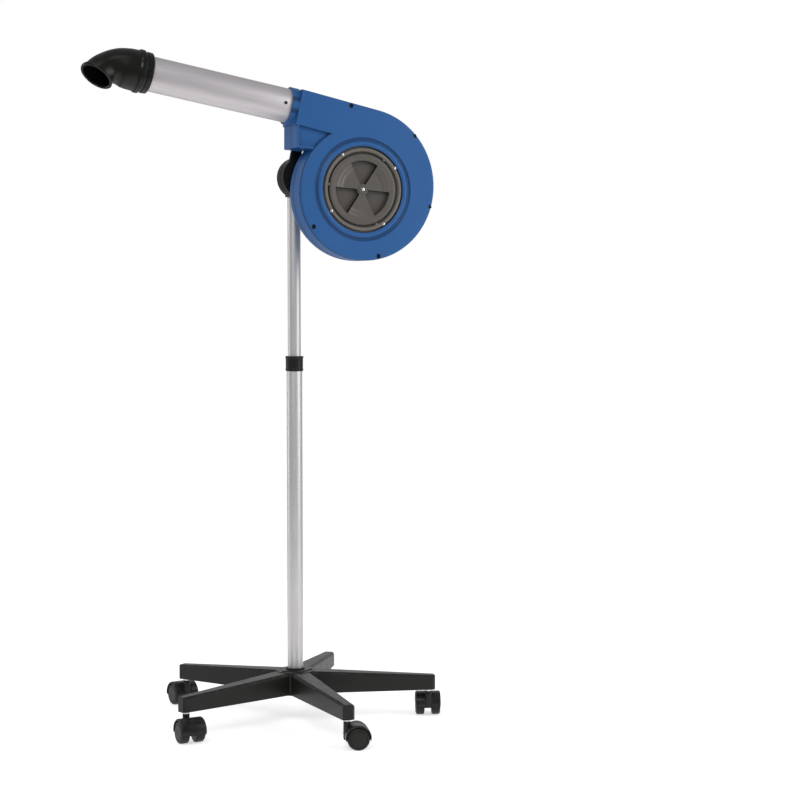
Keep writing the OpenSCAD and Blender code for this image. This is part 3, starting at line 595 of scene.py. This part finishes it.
depthAxis = np.array([0.0, 1.0, 0.0])
floorPlace = Place((0, 0, 0), (0, 0, 1), (0, 1, 0))
headAcross = np.array(joints["blower_switch_rock"]["axis"])
headUp = np.cross(headAcross, depthAxis)
inletPlace = placeOf("shutter_turn", headUp)
fanPlace = placeOf("fan_spin", headUp)
tubeOut = np.array(joints["nozzle_turn"]["axis"])
tubeUp = np.cross(-tubeOut, depthAxis)


screwHead = {"recessWidth": 0.13, "recessLength": 0.56, "recessDepth": 0.45, "dome": 0.35}


def screw(radius, height, shank, length, place):
    # head height = height * (1 - dome * (r / radius)^2), less a cross-shaped recess;
    # then the edge and the shank
    turn = np.linspace(0, 2 * math.pi, 40, endpoint=False)
    across = np.linspace(0, 1, 13)[:, None]
    x, y = across * np.cos(turn), across * np.sin(turn)

    def bar(u, v):
        inside = np.clip(1.6 - abs(u) / screwHead["recessWidth"], 0, 1)
        return inside * np.clip((screwHead["recessLength"] - abs(v)) * 8, 0, 1)

    recess = np.maximum(bar(x, y), bar(y, x)) * screwHead["recessDepth"]
    head = np.stack([radius * x, radius * y, height * (1 - screwHead["dome"] * across ** 2 - recess)], -1)
    below = np.array([[radius, 0.15 * height], [radius * 0.97, 0], [shank, 0], [shank, -length], [0, -length]])
    rest = np.stack([below[:, :1] * np.cos(turn), below[:, :1] * np.sin(turn), below[:, 1:] + 0 * turn], -1)
    return quads(place(np.concatenate([head, rest])))


def makeScrews(nodeName, look):
    # each screw stands where its node's solid is: outward(middle) is its direction
    radius, height, shank = look["size"]
    shells = []
    for points in solidsOf(nodeName, look["reach"]):
        middle = (points.min(0) + points.max(0)) / 2
        direction = unit(look["outward"](middle))
        reachOut = (points - middle) @ direction
        seat = middle + direction * (reachOut.max() - height)
        place = Place(seat, direction, headUp + 0.3 * headAcross)
        shells.append(screw(radius, height, shank, reachOut.max() - reachOut.min() - height, place))
    makePiece(nodeName + "_heads", "head", look["slot"], shells, [nodeName])


def forward(middle):
    return -depthAxis


def backward(middle):
    return depthAxis


def awayFromTube(middle):
    offset = middle - np.array(joints["nozzle_turn"]["pos_m"])
    return offset - (offset @ tubeOut) * tubeOut


# size = radius and height of the head, radius of the shank; no two screws are within reach of each other
screwSets = {
    "shell_screws": {"slot": "black_steel", "size": (0.004, 0.0026, 0.002),
                     "outward": forward, "reach": 0.075},
    "ring_screws": {"slot": "zinc_steel", "size": (0.0034, 0.0022, 0.0016),
                    "outward": forward, "reach": 0.03},
    "shutter_screw": {"slot": "zinc_steel", "size": (0.004, 0.0024, 0.0025),
                      "outward": forward, "reach": 0.03},
    "cover_screws": {"slot": "zinc_steel", "size": (0.0032, 0.0022, 0.0016),
                     "outward": backward, "reach": 0.05},
    "tube_screws": {"slot": "black_steel", "size": (0.0036, 0.0020, 0.0016),
                    "outward": awayFromTube, "reach": 0.015},
}


column = {"wall": 0.002, "rim": 0.0006}


def makeColumn():
    for name, body in (("lower_tube", "base"), ("upper_tube", "column")):
        lowest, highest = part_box(name)
        outer = (highest[0] - lowest[0]) / 2
        rim = column["rim"]
        section = rounded([(outer - column["wall"], lowest[2], rim), (outer, lowest[2], rim),
                           (outer, highest[2], rim), (outer - column["wall"], highest[2], rim)], 4)
        makePiece(name + "_drawn", body, "column_aluminium", [lathe(section, floorPlace)], [name])


outlet = {"outer": 0.0381, "wall": 0.0015, "inSocket": 0.020, "reach": 0.358, "jointAt": 0.340}


def makeOutletTube():
    start, end = -outlet["inSocket"] - outlet["jointAt"], outlet["reach"] - outlet["jointAt"]
    inner = outlet["outer"] - outlet["wall"]
    section = rounded([(inner, start, 0.0004), (outlet["outer"], start, 0.0004),
                       (outlet["outer"], end, 0.0004), (inner, end, 0.0004)], 4)
    place = placeOf("nozzle_turn", tubeUp)
    shell = lathe(section, place, count=96)
    makePiece("outlet_tube_drawn", "head", "outlet_aluminium", [shell], ["outlet_tube"])


collar = {"lip": 0.0215, "body": 0.0199, "foot": 0.0204, "bore": 0.0182, "topBore": 0.0152, "height": 0.0345}


def makeCollar():
    # a sleeve with a rounded lip, a waist and a foot, and the boss of its wing screw
    lowest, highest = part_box("height_collar")
    top = highest[2]
    bottom = top - collar["height"]
    section = rounded([
        (collar["bore"], bottom, 0.0005), (collar["foot"], bottom, 0.0018),
        (collar["foot"], bottom + 0.0055, 0.0015),
        (collar["body"], bottom + 0.0065, 0.0008), (collar["body"] + 0.0001, top - 0.0052, 0.0006),
        (collar["lip"] - 0.0006, top - 0.0042, 0.0006), (collar["lip"] - 0.0006, top, 0.0014),
        (collar["topBore"], top, 0.0008), (collar["topBore"], top - 0.0078, 0.0004),
        (collar["bore"], top - 0.0078, 0.0004)], 5)
    shells = [lathe(section, floorPlace)]
    knob = placeOf("collar_knob_turn", (0, 0, 1))
    boss = rounded([(0.0032, 0.0185, 0), (0.0085, 0.0185, 0), (0.0072, 0.0215, 0.001),
                    (0.0070, 0.0252, 0.0008), (0.0032, 0.0252, 0.0003)], 4)
    shells.append(lathe(boss, knob, count=40))
    makePiece("height_collar_moulded", "base", "base_plastic", shells, ["height_collar"])


wingScrew = {"shank": 0.003, "tip": 0.0163, "seat": 0.0258, "hub": 0.007, "top": 0.0345,
             "reach": 0.012, "thickness": 0.0026, "height": 0.0046, "middle": 0.0319}


def makeWingScrew():
    # hub by lathe; the wing is an ellipse at each v from -1 to 1 across it, both of its half sizes
    # shrink by sqrt(1 - v ** 4) and the height also by 0.72 - 0.28 cos(pi (1 - |v|))
    place = placeOf("collar_knob_turn", (0, 0, 1))
    shank, tip, seat, top = (wingScrew[key] for key in ("shank", "tip", "seat", "top"))
    hub = [(0, tip), (shank, tip), (shank, seat)]
    hub += rounded([(wingScrew["hub"], seat, 0.0008), (wingScrew["hub"], top - 0.0027, 0.002),
                    (shank, top, 0.001)], 4)[:-3].tolist()
    hub += [(0, top)]
    u = np.linspace(0, 2 * math.pi, 32, endpoint=False)
    v = np.linspace(-1, 1, 25)[:, None]
    reach = wingScrew["reach"] * np.sign(v) * abs(v) ** 0.8
    taper = np.sqrt(np.clip(1 - abs(v) ** 4, 0, 1))
    thickness = wingScrew["thickness"] * taper * (1 + 0.35 * abs(v))
    height = wingScrew["height"] * taper * (0.72 - 0.28 * np.cos(math.pi * (1 - abs(v))))
    wing = np.stack([thickness * np.cos(u), reach + 0 * u, wingScrew["middle"] + height * np.sin(u)], -1)
    makePiece("collar_knob_moulded", "collar_knob", "knob_plastic",
              [lathe(hub, place, closed=False, count=40), quads(place(wing))], ["collar_knob"])


tiltKnob = {"radius": 0.024, "height": 0.018, "flutes": 6, "fluteDepth": 0.0045, "neck": 0.012, "bore": 0.0051}


def makeTiltKnob():
    # r = radius - fluteDepth * (1 + cos(flutes * t)) ** 2 / 4 on the grip, round at its edges
    lowest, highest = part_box("tilt_knob")
    joint = joints["tilt_knob_turn"]
    seat = np.array([joint["pos_m"][0], highest[1] - tiltKnob["height"], joint["pos_m"][2]])
    place = Place(seat, (0, 1, 0), (0, 0, 1))
    height, radius = tiltKnob["height"], tiltKnob["radius"]
    section = rounded([(tiltKnob["bore"], -0.003, 0.0003), (tiltKnob["neck"], -0.003, 0.0006),
                       (tiltKnob["neck"] + 0.001, 0, 0.0008), (radius, 0, 0.002), (radius, height, 0.005),
                       (0.013, height, 0.003), (0.011, height - 0.0022, 0.002), (0, height - 0.0016, 0),
                       (0, 0.015, 0), (tiltKnob["bore"], 0.015, 0.0002)], 7)
    start = int(np.argmin(abs(section[:, 0]) + abs(section[:, 1] - 0.015)))
    section = np.roll(section, -start, 0)
    turn = np.linspace(0, 2 * math.pi, 120, endpoint=False)
    r, h = section.T[:, :, None]
    gripped = np.clip((r - 0.014) / (radius - 0.014), 0, 1) ** 2
    flute = tiltKnob["fluteDepth"] * ((1 + np.cos(tiltKnob["flutes"] * turn)) / 2) ** 2
    wide = r - gripped * flute
    points = np.stack([wide * np.cos(turn), wide * np.sin(turn), h + 0 * turn], -1)
    makePiece("tilt_knob_moulded", "tilt_knob", "knob_plastic", [quads(place(points))], ["tilt_knob"])


caster = {"wheel": 0.025, "inner": 0.0084, "outer": 0.0285, "hoodInner": 0.0264, "hoodThick": 0.0051,
          "hoodHalf": 0.029, "coreHalf": 0.008, "coreRadius": 0.0298, "droop": 9, "stem": 0.0055,
          "neck": 0.0079, "neckTop": 0.060, "neckLow": 0.021}


def makeWheel(name, side):
    # tread, rounded shoulders, a groove and a domed cap by lathe; side is 1 or -1 along the axle
    joint = joints[name + "_roll"]
    place = Place(joint["pos_m"], np.array(joint["axis"]) * side, (0, 0, 1))
    radius, inner, outer = caster["wheel"], caster["inner"], caster["outer"]
    cap = radius * 0.76
    section = rounded([(0, outer - 0.002, 0), (0.0041, outer - 0.002, 0), (0.0041, inner, 0.0003),
                       (radius - 0.004, inner, 0.0005), (radius, inner + 0.0015, 0.0014),
                       (radius, outer, 0.0048),
                       (cap + 0.001, outer + 0.0001, 0.0004), (cap + 0.0003, outer - 0.0012, 0.0003),
                       (cap - 0.0009, outer - 0.0012, 0.0003), (cap - 0.0016, outer - 0.0001, 0.0008),
                       (0.0075, outer + 0.0004, 0.0005), (0.0070, outer - 0.0002, 0.0004),
                       (0, outer - 0.0001, 0)], 6)
    makePiece(name + "_moulded", name, "wheel_plastic", [lathe(section, place, closed=False)], [name])


def makeHood(index):
    # crescent: a rounded section carried round the axle from -droop to 180 + droop, thinner to its ends
    wheelJoint = joints["wheel_left_%d_roll" % index]
    stem = np.array(joints["caster_%d_swivel" % index]["pos_m"])
    centre = np.array(wheelJoint["pos_m"])
    axle = np.array(wheelJoint["axis"])
    place = Place(centre, axle, (0, 0, 1))
    droop = math.radians(caster["droop"])
    angle = np.linspace(-droop, math.pi + droop, 61)[:, None]
    ends = np.sqrt(np.clip(1 - ((angle - math.pi / 2) / (math.pi / 2 + droop)) ** 16, 0, 1))
    thick = caster["hoodThick"] * (0.62 + 0.38 * np.sin(np.clip(angle, 0, math.pi)) ** 0.7)
    half = caster["hoodHalf"]
    section = rounded([(0, -half, 0.0006), (caster["hoodThick"], -half, 0.0032),
                       (caster["hoodThick"], half, 0.0032), (0, half, 0.0006)], 7)
    deep = section[:, 0][None, :] / caster["hoodThick"]
    crown = 1 - 0.05 * (section[:, 1][None, :] / half) ** 2
    middle = caster["hoodInner"] + thick / 2
    radius = middle + (caster["hoodInner"] + deep * thick - middle) * ends
    radius = np.where(deep > 0.5, radius * crown, radius)
    wide = section[:, 1][None, :] * (0.93 + 0.07 * ends)
    hood = np.stack([radius * np.cos(angle), radius * np.sin(angle), wide + 0 * angle], -1)
    shells = [quads(place(hood[:, ::-1]))]
    arc = np.linspace(-droop, math.pi + droop, 41)
    hub = np.linspace(math.pi + 0.5, 2 * math.pi - 0.5, 15)
    outline = np.vstack([np.column_stack([np.cos(arc), np.sin(arc)]) * caster["coreRadius"],
                         np.column_stack([np.cos(hub), np.sin(hub)]) * 0.011])
    shells.append(slab(outline, -caster["coreHalf"], caster["coreHalf"], place))
    bore, wall, foot, top = caster["stem"] + 0.0001, caster["neck"], caster["neckLow"], caster["neckTop"]
    neck = rounded([(bore, foot, 0.0003), (wall, foot, 0.0005), (wall, top, 0.0015), (bore, top, 0.0004)], 5)
    shells.append(lathe(neck, Place((stem[0], stem[1], 0), (0, 0, 1), (0, 1, 0)), count=40))
    makePiece("caster_hood_%d_moulded" % index, "caster_%d" % index, "caster_plastic", shells,
              ["caster_hood_%d" % index], bevel=0.0006)


nozzle = {"sleeveFrom": -0.020, "bendFrom": 0.039, "bendRadius": 0.063, "bend": 64, "roll": 18,
          "wide": 0.0444, "narrow": 0.0344, "skin": 0.0025, "rim": 0.0026, "bodyFrom": 0.0195}


def makeNozzle():
    # a closed profile (distance, radius) carried along a straight and an arc of radius R:
    # centre = (z = bendFrom + R sin a, y = -R (1 - cos a)), a = (distance - bendFrom) / R
    roll, bend = math.radians(nozzle["roll"]), math.radians(nozzle["bend"])
    arc = nozzle["bendRadius"] * bend
    away = math.cos(roll) * tubeUp + math.sin(roll) * depthAxis
    place = Place(joints["nozzle_turn"]["pos_m"], tubeOut, away)
    start, body, end = nozzle["sleeveFrom"], nozzle["bodyFrom"], nozzle["bendFrom"] + arc

    def radiusAt(part):
        # falls from wide to narrow as a half cosine over the first seven tenths
        fall = (1 + np.cos(math.pi * np.minimum(1, part / 0.7))) / 2
        return nozzle["narrow"] + (nozzle["wide"] - nozzle["narrow"]) * fall

    bore, slip = outlet["outer"] - outlet["wall"], outlet["outer"] + 0.00012
    sleeve = rounded([(start, slip, 0.0004), (start, 0.0425, 0.0008), (start + 0.002, 0.0446, 0.0008),
                      (start + 0.0125, 0.0450, 0.0010), (start + 0.0131, 0.0423, 0.0004),
                      (start + 0.0183, 0.0423, 0.0004),
                      (start + 0.0190, 0.0474, 0.0018), (start + 0.0270, 0.0474, 0.0026),
                      (start + 0.0310, 0.0449, 0.0020), (body, nozzle["wide"], 0)], 7)
    path = end - body
    rimPart = nozzle["rim"] / path
    part = np.linspace(0.02, 1 - 2 * rimPart - 0.004, 60)
    skin = np.column_stack([body + part * path, radiusAt(part)])
    lip = np.linspace(0, math.radians(160), 15)
    rimRadius = radiusAt(1 - rimPart * (1 + np.cos(lip))) + 0.0014 + nozzle["rim"] * np.sin(lip)
    rolled = np.column_stack([end - nozzle["rim"] * (1 + np.cos(lip)), rimRadius])
    part = np.linspace(1, 0, 60)
    lining = np.column_stack([body + part * path, np.minimum(bore, radiusAt(part) - nozzle["skin"])])
    lining[0] += (-0.0004, 0.0006)
    stop = outlet["reach"] - outlet["jointAt"] + 0.0006  # the inner step that meets the tube's end
    step = np.array([[stop, bore], [stop, slip]])
    profile = np.vstack([sleeve, skin, rolled, lining, step])
    distance, radius = profile.T[:, :, None]
    angle = np.maximum(0, distance - nozzle["bendFrom"]) / nozzle["bendRadius"]
    turn = np.linspace(0, 2 * math.pi, 112, endpoint=False)
    ahead = np.minimum(distance, nozzle["bendFrom"]) + nozzle["bendRadius"] * np.sin(angle)
    down = nozzle["bendRadius"] * (1 - np.cos(angle))
    points = np.stack([radius * np.sin(turn), radius * np.cos(turn) * np.cos(angle) - down,
                       radius * np.cos(turn) * np.sin(angle) + ahead], -1)
    shell = quads(place(points), closedRows=True)
    makePiece("nozzle_moulded", "nozzle", "nozzle_plastic", [shell], ["nozzle"], sharp=50)


inlet = {"outer": 0.0925, "inner": 0.0850, "flange": 0.0965, "openings": (98, 218, 338), "openAngle": 60,
         "openInner": 0.013, "openOuter": 0.065, "screws": (45, 135, 225, 315), "screwCircle": 0.091,
         "dimple": 0.0046, "lowered": 0.0031, "tabs": (65, 185, 305), "tabCircle": 0.0838}
# steps of the shutter's face: (from radius, over this width, rise)
shutter = {"thick": 0.0035,
           "ridges": ((0.0505, 0.0008, 0.0005), (0.0585, 0.0008, 0.0004), (0.068, 0.005, 0.0006)),
           "rolled": (0.0775, 0.0024, 0.0012), "hub": (0.0105, 0.0009, 0.0020),
           "seat": (0.0062, 0.0006, 0.0012),
           "radii": (0.0026, 0.0056, 0.0062, 0.0096, 0.0105, 0.013, 0.0505, 0.0513, 0.0585, 0.0593, 0.065,
                     0.068, 0.073, 0.0775, 0.0785, 0.0793, 0.080)}


def steps(edges, size):
    # values from the first edge to the last, through every edge, no further apart than size
    return np.unique(np.concatenate([np.linspace(a, b, max(2, int(math.ceil((b - a) / size)) + 1))
                                     for a, b in zip(edges, edges[1:])]))


def inOpening(r, t):
    near = np.zeros(r.shape, bool)
    for middle in inlet["openings"]:
        away = (t - math.radians(middle) + math.pi) % (2 * math.pi) - math.pi
        near |= abs(away) < math.radians(inlet["openAngle"] / 2)
    return near & (r > inlet["openInner"]) & (r < inlet["openOuter"])


def makeShutter():
    # height = plate + ridges - the rolled rim's fall, squared + the hub - its screw's seat
    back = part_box("shutter_disc")[1][1]
    place = Place((inletPlace.origin[0], back, inletPlace.origin[2]), (0, -1, 0), headUp)

    def top(r, t):
        height = shutter["thick"] + 0 * r
        for start, width, rise in shutter["ridges"]:
            height += rise * ramp(r, start, width)
        start, width, fall = shutter["rolled"]
        height -= fall * ramp(r, start, width) ** 2
        start, width, rise = shutter["hub"]
        height += rise * ramp(-r, -start, width)
        start, width, fall = shutter["seat"]
        return height - fall * ramp(-r, -start, width)

    def bottom(r, t):
        return 0 * r

    edges = [math.radians(m + s * inlet["openAngle"] / 2) for m in inlet["openings"] for s in (-1, 1)]
    edges = sorted(e % (2 * math.pi) for e in edges)
    turns = steps(edges + [edges[0] + 2 * math.pi], math.radians(2.5))[:-1]
    radii = steps(shutter["radii"], 0.006)
    shell = polarSolid(radii, turns, top, bottom, lambda r, t: ~inOpening(r, t), place)
    makePiece("shutter_disc_moulded", "shutter", "shutter_plastic", [shell], ["shutter_disc"], bevel=0.0005)


def makeInletRing():
    # flange, raised rim with round edges, lowered round each of its four screws
    lowest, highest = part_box("inlet_ring")
    place = Place((inletPlace.origin[0], highest[1], inletPlace.origin[2]), (0, -1, 0), headUp)
    depth = highest[1] - lowest[1]
    section = rounded([(inlet["inner"], 0, 0.0004), (inlet["flange"], 0, 0.0004),
                       (inlet["flange"], 0.003, 0.0006), (inlet["outer"], 0.003, 0.0006),
                       (inlet["outer"], depth, 0.0026),
                       (inlet["inner"] + 0.0022, depth, 0.0018), (inlet["inner"], depth - 0.003, 0.0012)], 8)
    turn = np.linspace(0, 2 * math.pi, 360, endpoint=False)
    r, h = section.T[:, :, None]
    x, y = r * np.cos(turn), r * np.sin(turn)
    lowered = np.zeros(x.shape)
    for screwAt in np.radians(inlet["screws"]):
        screwX, screwY = inlet["screwCircle"] * math.cos(screwAt), inlet["screwCircle"] * math.sin(screwAt)
        away = np.hypot(x - screwX, y - screwY)
        lowered = np.maximum(lowered, ramp(-away, -inlet["dimple"], 0.0007))
    h = h - lowered * np.maximum(0, h - (depth - inlet["lowered"]))
    shells = [quads(place(np.stack([x, y, h + 0 * x], -1)), closedRows=True)]
    for tabAt in np.radians(inlet["tabs"]):
        outward = math.cos(tabAt) * place.axes[0] + math.sin(tabAt) * place.axes[1]
        tabPlace = Place(place.origin + inlet["tabCircle"] * outward, (0, -1, 0), outward)
        outline = rounded([(-0.0025, -0.0023, 0.0006), (0.0025, -0.0023, 0.0006), (0.0025, 0.0022, 0),
                           (-0.0025, 0.0022, 0)], 4)
        shells.append(slab(outline, 0.009, 0.011, tabPlace))
    makePiece("inlet_ring_moulded", "head", "ring_plastic", shells, ["inlet_ring"], sharp=45)


impeller = {"blades": 20, "inner": 0.057, "outer": 0.0755, "thick": 0.0014, "sweep": 0.26, "rim": 0.076,
            "plate": 0.002, "frontInner": 0.068, "frontThick": 0.003, "bore": 0.0041, "hubTop": 0.026}


def makeImpeller():
    # each blade follows an arc: angle = 2 pi k / blades + sweep u ^ 2 for u from 0 inside to 1 outside
    lowest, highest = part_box("impeller")
    place = Place((fanPlace.origin[0], highest[1], fanPlace.origin[2]), (0, -1, 0), headUp)
    depth = highest[1] - lowest[1]
    bore, rim, plate, hubTop = (impeller[key] for key in ("bore", "rim", "plate", "hubTop"))
    section = rounded([(bore, 0, 0.0003), (rim, 0, 0.0006), (rim, plate, 0.0006), (0.016, plate, 0.002),
                       (0.011, 0.008, 0.002), (0.0095, hubTop, 0.001), (bore, hubTop, 0.0004)], 4)
    shells = [lathe(section, place)]
    inner, back = impeller["frontInner"], depth - impeller["frontThick"]
    shells.append(lathe(rounded([(inner, back, 0.0005), (rim, back, 0.0005), (rim, depth, 0.0012),
                                 (inner, depth, 0.0012)], 4), place))
    u = np.linspace(0, 1, 9)
    radius = impeller["inner"] + (impeller["outer"] - impeller["inner"]) * u
    for blade in range(impeller["blades"]):
        angle = 2 * math.pi * blade / impeller["blades"] + impeller["sweep"] * u ** 2
        half = impeller["thick"] / 2 / radius
        edge, across = np.append(radius, radius[::-1]), np.append(angle - half, (angle + half)[::-1])
        outline = np.column_stack([edge * np.cos(across), edge * np.sin(across)])
        shells.append(slab(outline, 0.001, depth - 0.001, place))
    makePiece("impeller_moulded", "rotor", "impeller_plastic", shells, ["impeller"])


heater = {"from": 0.026, "to": 0.122, "radius": 0.025, "turns": 9, "wire": 0.0012}


def makeHeatingCoil():
    # helix about the tube: (R cos t, R sin t, from + (to - from) * t / (2 pi turns))
    place = Place(np.array(joints["nozzle_turn"]["pos_m"]) - outlet["jointAt"] * tubeOut, tubeOut, tubeUp)
    t = np.linspace(0, 2 * math.pi * heater["turns"], 40 * heater["turns"])
    along = heater["from"] + (heater["to"] - heater["from"]) * t / t[-1]
    path = np.column_stack([heater["radius"] * np.cos(t), heater["radius"] * np.sin(t), along])
    wire = tube(place(path), heater["wire"], 8)
    makePiece("heater_coil_wound", "head", "heating_wire", [wire], ["heater_coils"])


mark = {"offset": 0.0078, "sunk": 0.0016, "low": -0.001, "high": 0.0004, "inner": 0.0020, "outer": 0.0026,
        "barHalf": (0.0003, 0.0026)}


def makeSwitchMarks():
    # a bar and a ring, raised a little on the two halves of each rocker
    low, high, inner, outer = (mark[key] for key in ("low", "high", "inner", "outer"))
    ring = rounded([(inner, low, 0), (outer, low, 0), (outer, high, 0.0001), (inner, high, 0.0001)], 3)
    x, y = mark["barHalf"]
    bar = rounded([(-x, -y, 0.0001), (x, -y, 0.0001), (x, y, 0.0001), (-x, y, 0.0001)], 3)
    for name in ("blower_switch", "heat_switch"):
        middle = middleOf(name)
        place = Place((middle[0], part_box(name)[1][1], middle[2]), depthAxis, headUp)
        ringPlace, barPlace = (Place(place([[0, offset, -mark["sunk"]]])[0], depthAxis, headUp)
                               for offset in (-mark["offset"], mark["offset"]))
        shells = [lathe(ring, ringPlace, count=32), slab(bar, low, high, barPlace)]
        makePiece(name + "_marks", name, "ring_plastic", shells)


gland = {"bore": 0.0036, "sleeve": 0.0065, "flange": 0.009, "inside": -0.013, "seat": (-0.0077, -0.0047),
         "rings": 4, "firstRing": -0.003, "pitch": 0.0034, "mouth": (0.0046, 0.0109)}


def makeGland():
    # stepped sleeve with rings, by lathe along the cord's way out
    mount = next(mount for mount in frame["record"]["mounts"] if mount["name"] == "cord_inlet")
    place = Place(mount["pos_m"], mount["axis"], depthAxis)
    bore, sleeve, flange, inside = (gland[key] for key in ("bore", "sleeve", "flange", "inside"))
    back, front = gland["seat"]
    corners = [(bore, inside, 0.0003), (sleeve, inside, 0.0003), (sleeve, back, 0.0002),
               (flange, back, 0.0006), (flange, front, 0.0008), (sleeve, front, 0.0002)]
    for ring in range(gland["rings"]):
        start = gland["firstRing"] + gland["pitch"] * ring
        width = sleeve - 0.0001 - 0.0004 * ring
        groove = width - 0.0011
        corners += [(width, start, 0.0003), (width, start + 0.0018, 0.0003),
                    (groove, start + 0.0019, 0.0002), (groove, start + 0.0033, 0.0002)]
    mouth, end = gland["mouth"]
    corners += [(mouth, end, 0.0005), (bore, end, 0.0003)]
    shell = lathe(rounded(corners, 4), place, count=48)
    makePiece("cord_gland_moulded", "head", "knob_plastic", [shell], ["cord_gland"])


for screwNode, screwLook in screwSets.items():
    makeScrews(screwNode, screwLook)
print("stage: screws made")
makeColumn()
makeOutletTube()
makeCollar()
makeWingScrew()
makeTiltKnob()
print("stage: column and knobs made")
for index in range(1, 6):
    makeHood(index)
    makeWheel("wheel_left_%d" % index, 1)
    makeWheel("wheel_right_%d" % index, -1)
print("stage: casters made")
makeNozzle()
makeShutter()
makeInletRing()
makeImpeller()
makeHeatingCoil()
makeSwitchMarks()
makeGland()
print("stage: head made")
